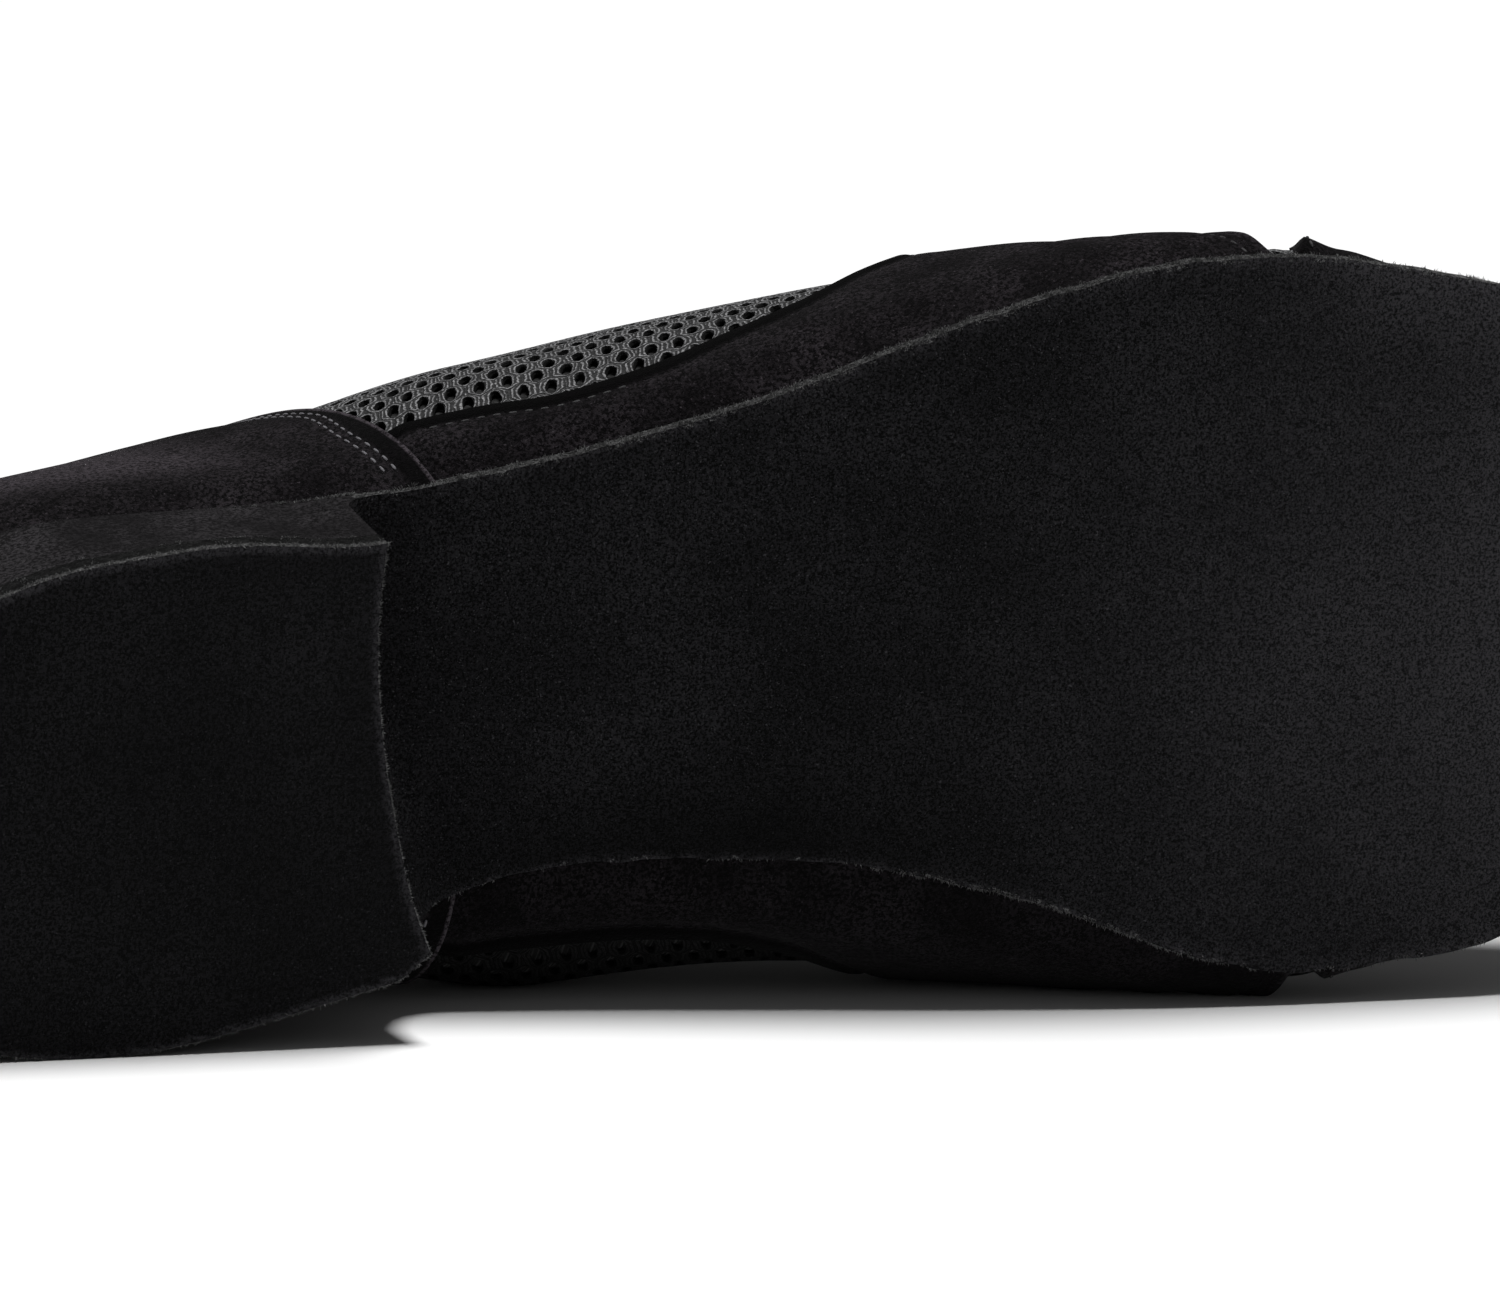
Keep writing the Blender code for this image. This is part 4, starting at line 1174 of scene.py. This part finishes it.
def crossing(first, second, side):
    """Control points of one crossing: up through one eyelet, over the tongue and down through another."""
    over = STAY_OFF + LACE_RADIUS
    clear = LAP + GAP + 1.2 * LACE_RADIUS
    a, b = eyelet_at(first), eyelet_at(second)
    start, end = on_side(a, EYELET_ROW, side, over), on_side(b, EYELET_ROW, -side, over)
    near_at = (start + (end - start) * 0.22)[0] / LENGTH
    far_at = (start + (end - start) * 0.78)[0] / LENGTH
    near, far = on_side(near_at, 1.0, side, clear), on_side(far_at, 1.0, -side, clear)
    middle = (near + far) / 2.0
    crest = tongue_row(middle[0] / LENGTH)[4][2]
    middle[2] = max(middle[2], crest + GAP + LACE_RADIUS) + LACE_ARCH
    down = EYELET_ROW - 0.022
    return [on_side(a, down, side, -0.6), on_side(a, down + 0.004, side, over * 0.55), start, near, middle, far, end,
            on_side(b, down + 0.004, -side, over * 0.55), on_side(b, down, -side, -0.6)]


def through(controls, count):
    """A smooth line through control points."""
    controls = np.asarray(controls)
    knots = np.concatenate([[0.0], np.cumsum(np.sqrt(np.linalg.norm(np.diff(controls, axis=0), axis=1)))])
    slopes = np.gradient(controls, knots, axis=0)
    t = np.linspace(0.0, knots[-1], count)
    k = np.clip(np.searchsorted(knots, t, side="right") - 1, 0, len(knots) - 2)
    width = (knots[k + 1] - knots[k])[:, None]
    return cubic((t - knots[k])[:, None] / width, controls[k], controls[k + 1], slopes[k], slopes[k + 1], width)


def joined(sets):
    points, faces, first = [], [], 0
    for some_points, some_faces in sets:
        points.append(some_points)
        faces += [[first + int(k) for k in face] for face in some_faces]
        first += len(some_points)
    return np.concatenate(points), faces


def build_lace():
    ways = [tube(through(crossing(EYELETS - 1, EYELETS - 1, OUTER), 60), LACE_RADIUS)]
    for first_side in (OUTER, INNER):
        side = first_side
        for number in range(EYELETS - 1, 0, -1):
            ways.append(tube(through(crossing(number, number - 1, side), 60), LACE_RADIUS))
            side = -side
    piece("lace_cord", *joined(ways), [LACE_CLOTH], ["lace"], "lace")


def build_stitches():
    for kind, look in (("pale", PALE_THREAD), ("dark", DARK_THREAD), ("black", BLACK_THREAD)):
        piece("stitches_" + kind, *joined(stitch_sets[kind]), [look], None, "suede", weld=0.001)


SIDES = (("outer", OUTER), ("inner", INNER))

build_lining()
build_mesh()
build_collar()
build_counter()
for word, side in SIDES:
    build_saddle(word, side)
for word, side in SIDES:
    build_eyestay(word, side)
build_cap()
build_outsole()
build_heel()
build_top_piece()
build_insole()
build_tongue()
build_lace()
build_stitches()
piece("edge_fibres", *joined(fuzz_sets), [FUZZ], None, "sole_suede")


# Floor, light and camera

FLOOR_HALF = 6.0
FLOOR_GREY = 0.86
SKY = 0.10
SUN_POWER = 3.65
SUN_ANGLE = 18.0
SUN_FROM = (0.08, -0.06, 1.0)


def build_floor():
    mesh = bpy.data.meshes.new("floor")
    corners = [(x * FLOOR_HALF, y * FLOOR_HALF, 0) for x, y in ((-1, -1), (1, -1), (1, 1), (-1, 1))]
    mesh.from_pydata(corners, [], [(0, 1, 2, 3)])
    floor = added("floor", mesh)
    look = Look("floor_paper", Roughness=0.9, Specular_IOR_Level=0.1)
    mesh.materials.append(look.finish(grey(FLOOR_GREY)))


def build_light():
    world = bpy.data.worlds.new("studio")
    bpy.context.scene.world = world
    world.use_nodes = True
    sky = world.node_tree.nodes["Background"].inputs
    sky["Color"].default_value = grey(1.0)
    sky["Strength"].default_value = SKY
    data = bpy.data.lights.new("key", "SUN")
    data.energy = SUN_POWER
    data.angle = math.radians(SUN_ANGLE)
    key = added("key", data)
    key.rotation_euler = Vector(SUN_FROM).to_track_quat("Z", "Y").to_euler()


def build_camera():
    data = bpy.data.cameras.new("camera")
    data.sensor_width = SENSOR_WIDTH
    data.lens = SENSOR_WIDTH * FOCAL_PIXELS / IMAGE_WIDTH
    data.clip_start, data.clip_end = 0.05, 50.0
    made = added("camera", data)
    right, up, back = (LIE_TURN @ axis for axis in (CAMERA_RIGHT, CAMERA_UP, CAMERA_BACK))
    place = (CAMERA_TARGET + CAMERA_RIGHT * CAMERA_SHIFT[0] + CAMERA_UP * CAMERA_SHIFT[1]
             + CAMERA_BACK * CAMERA_DISTANCE)
    made.rotation_mode = "QUATERNION"
    made.rotation_quaternion = Matrix((right, up, back)).transposed().to_quaternion()
    made.location = laid(place)
    bpy.context.scene.camera = made


build_floor()
build_light()
build_camera()
bpy.context.scene.view_settings.view_transform = "Standard"
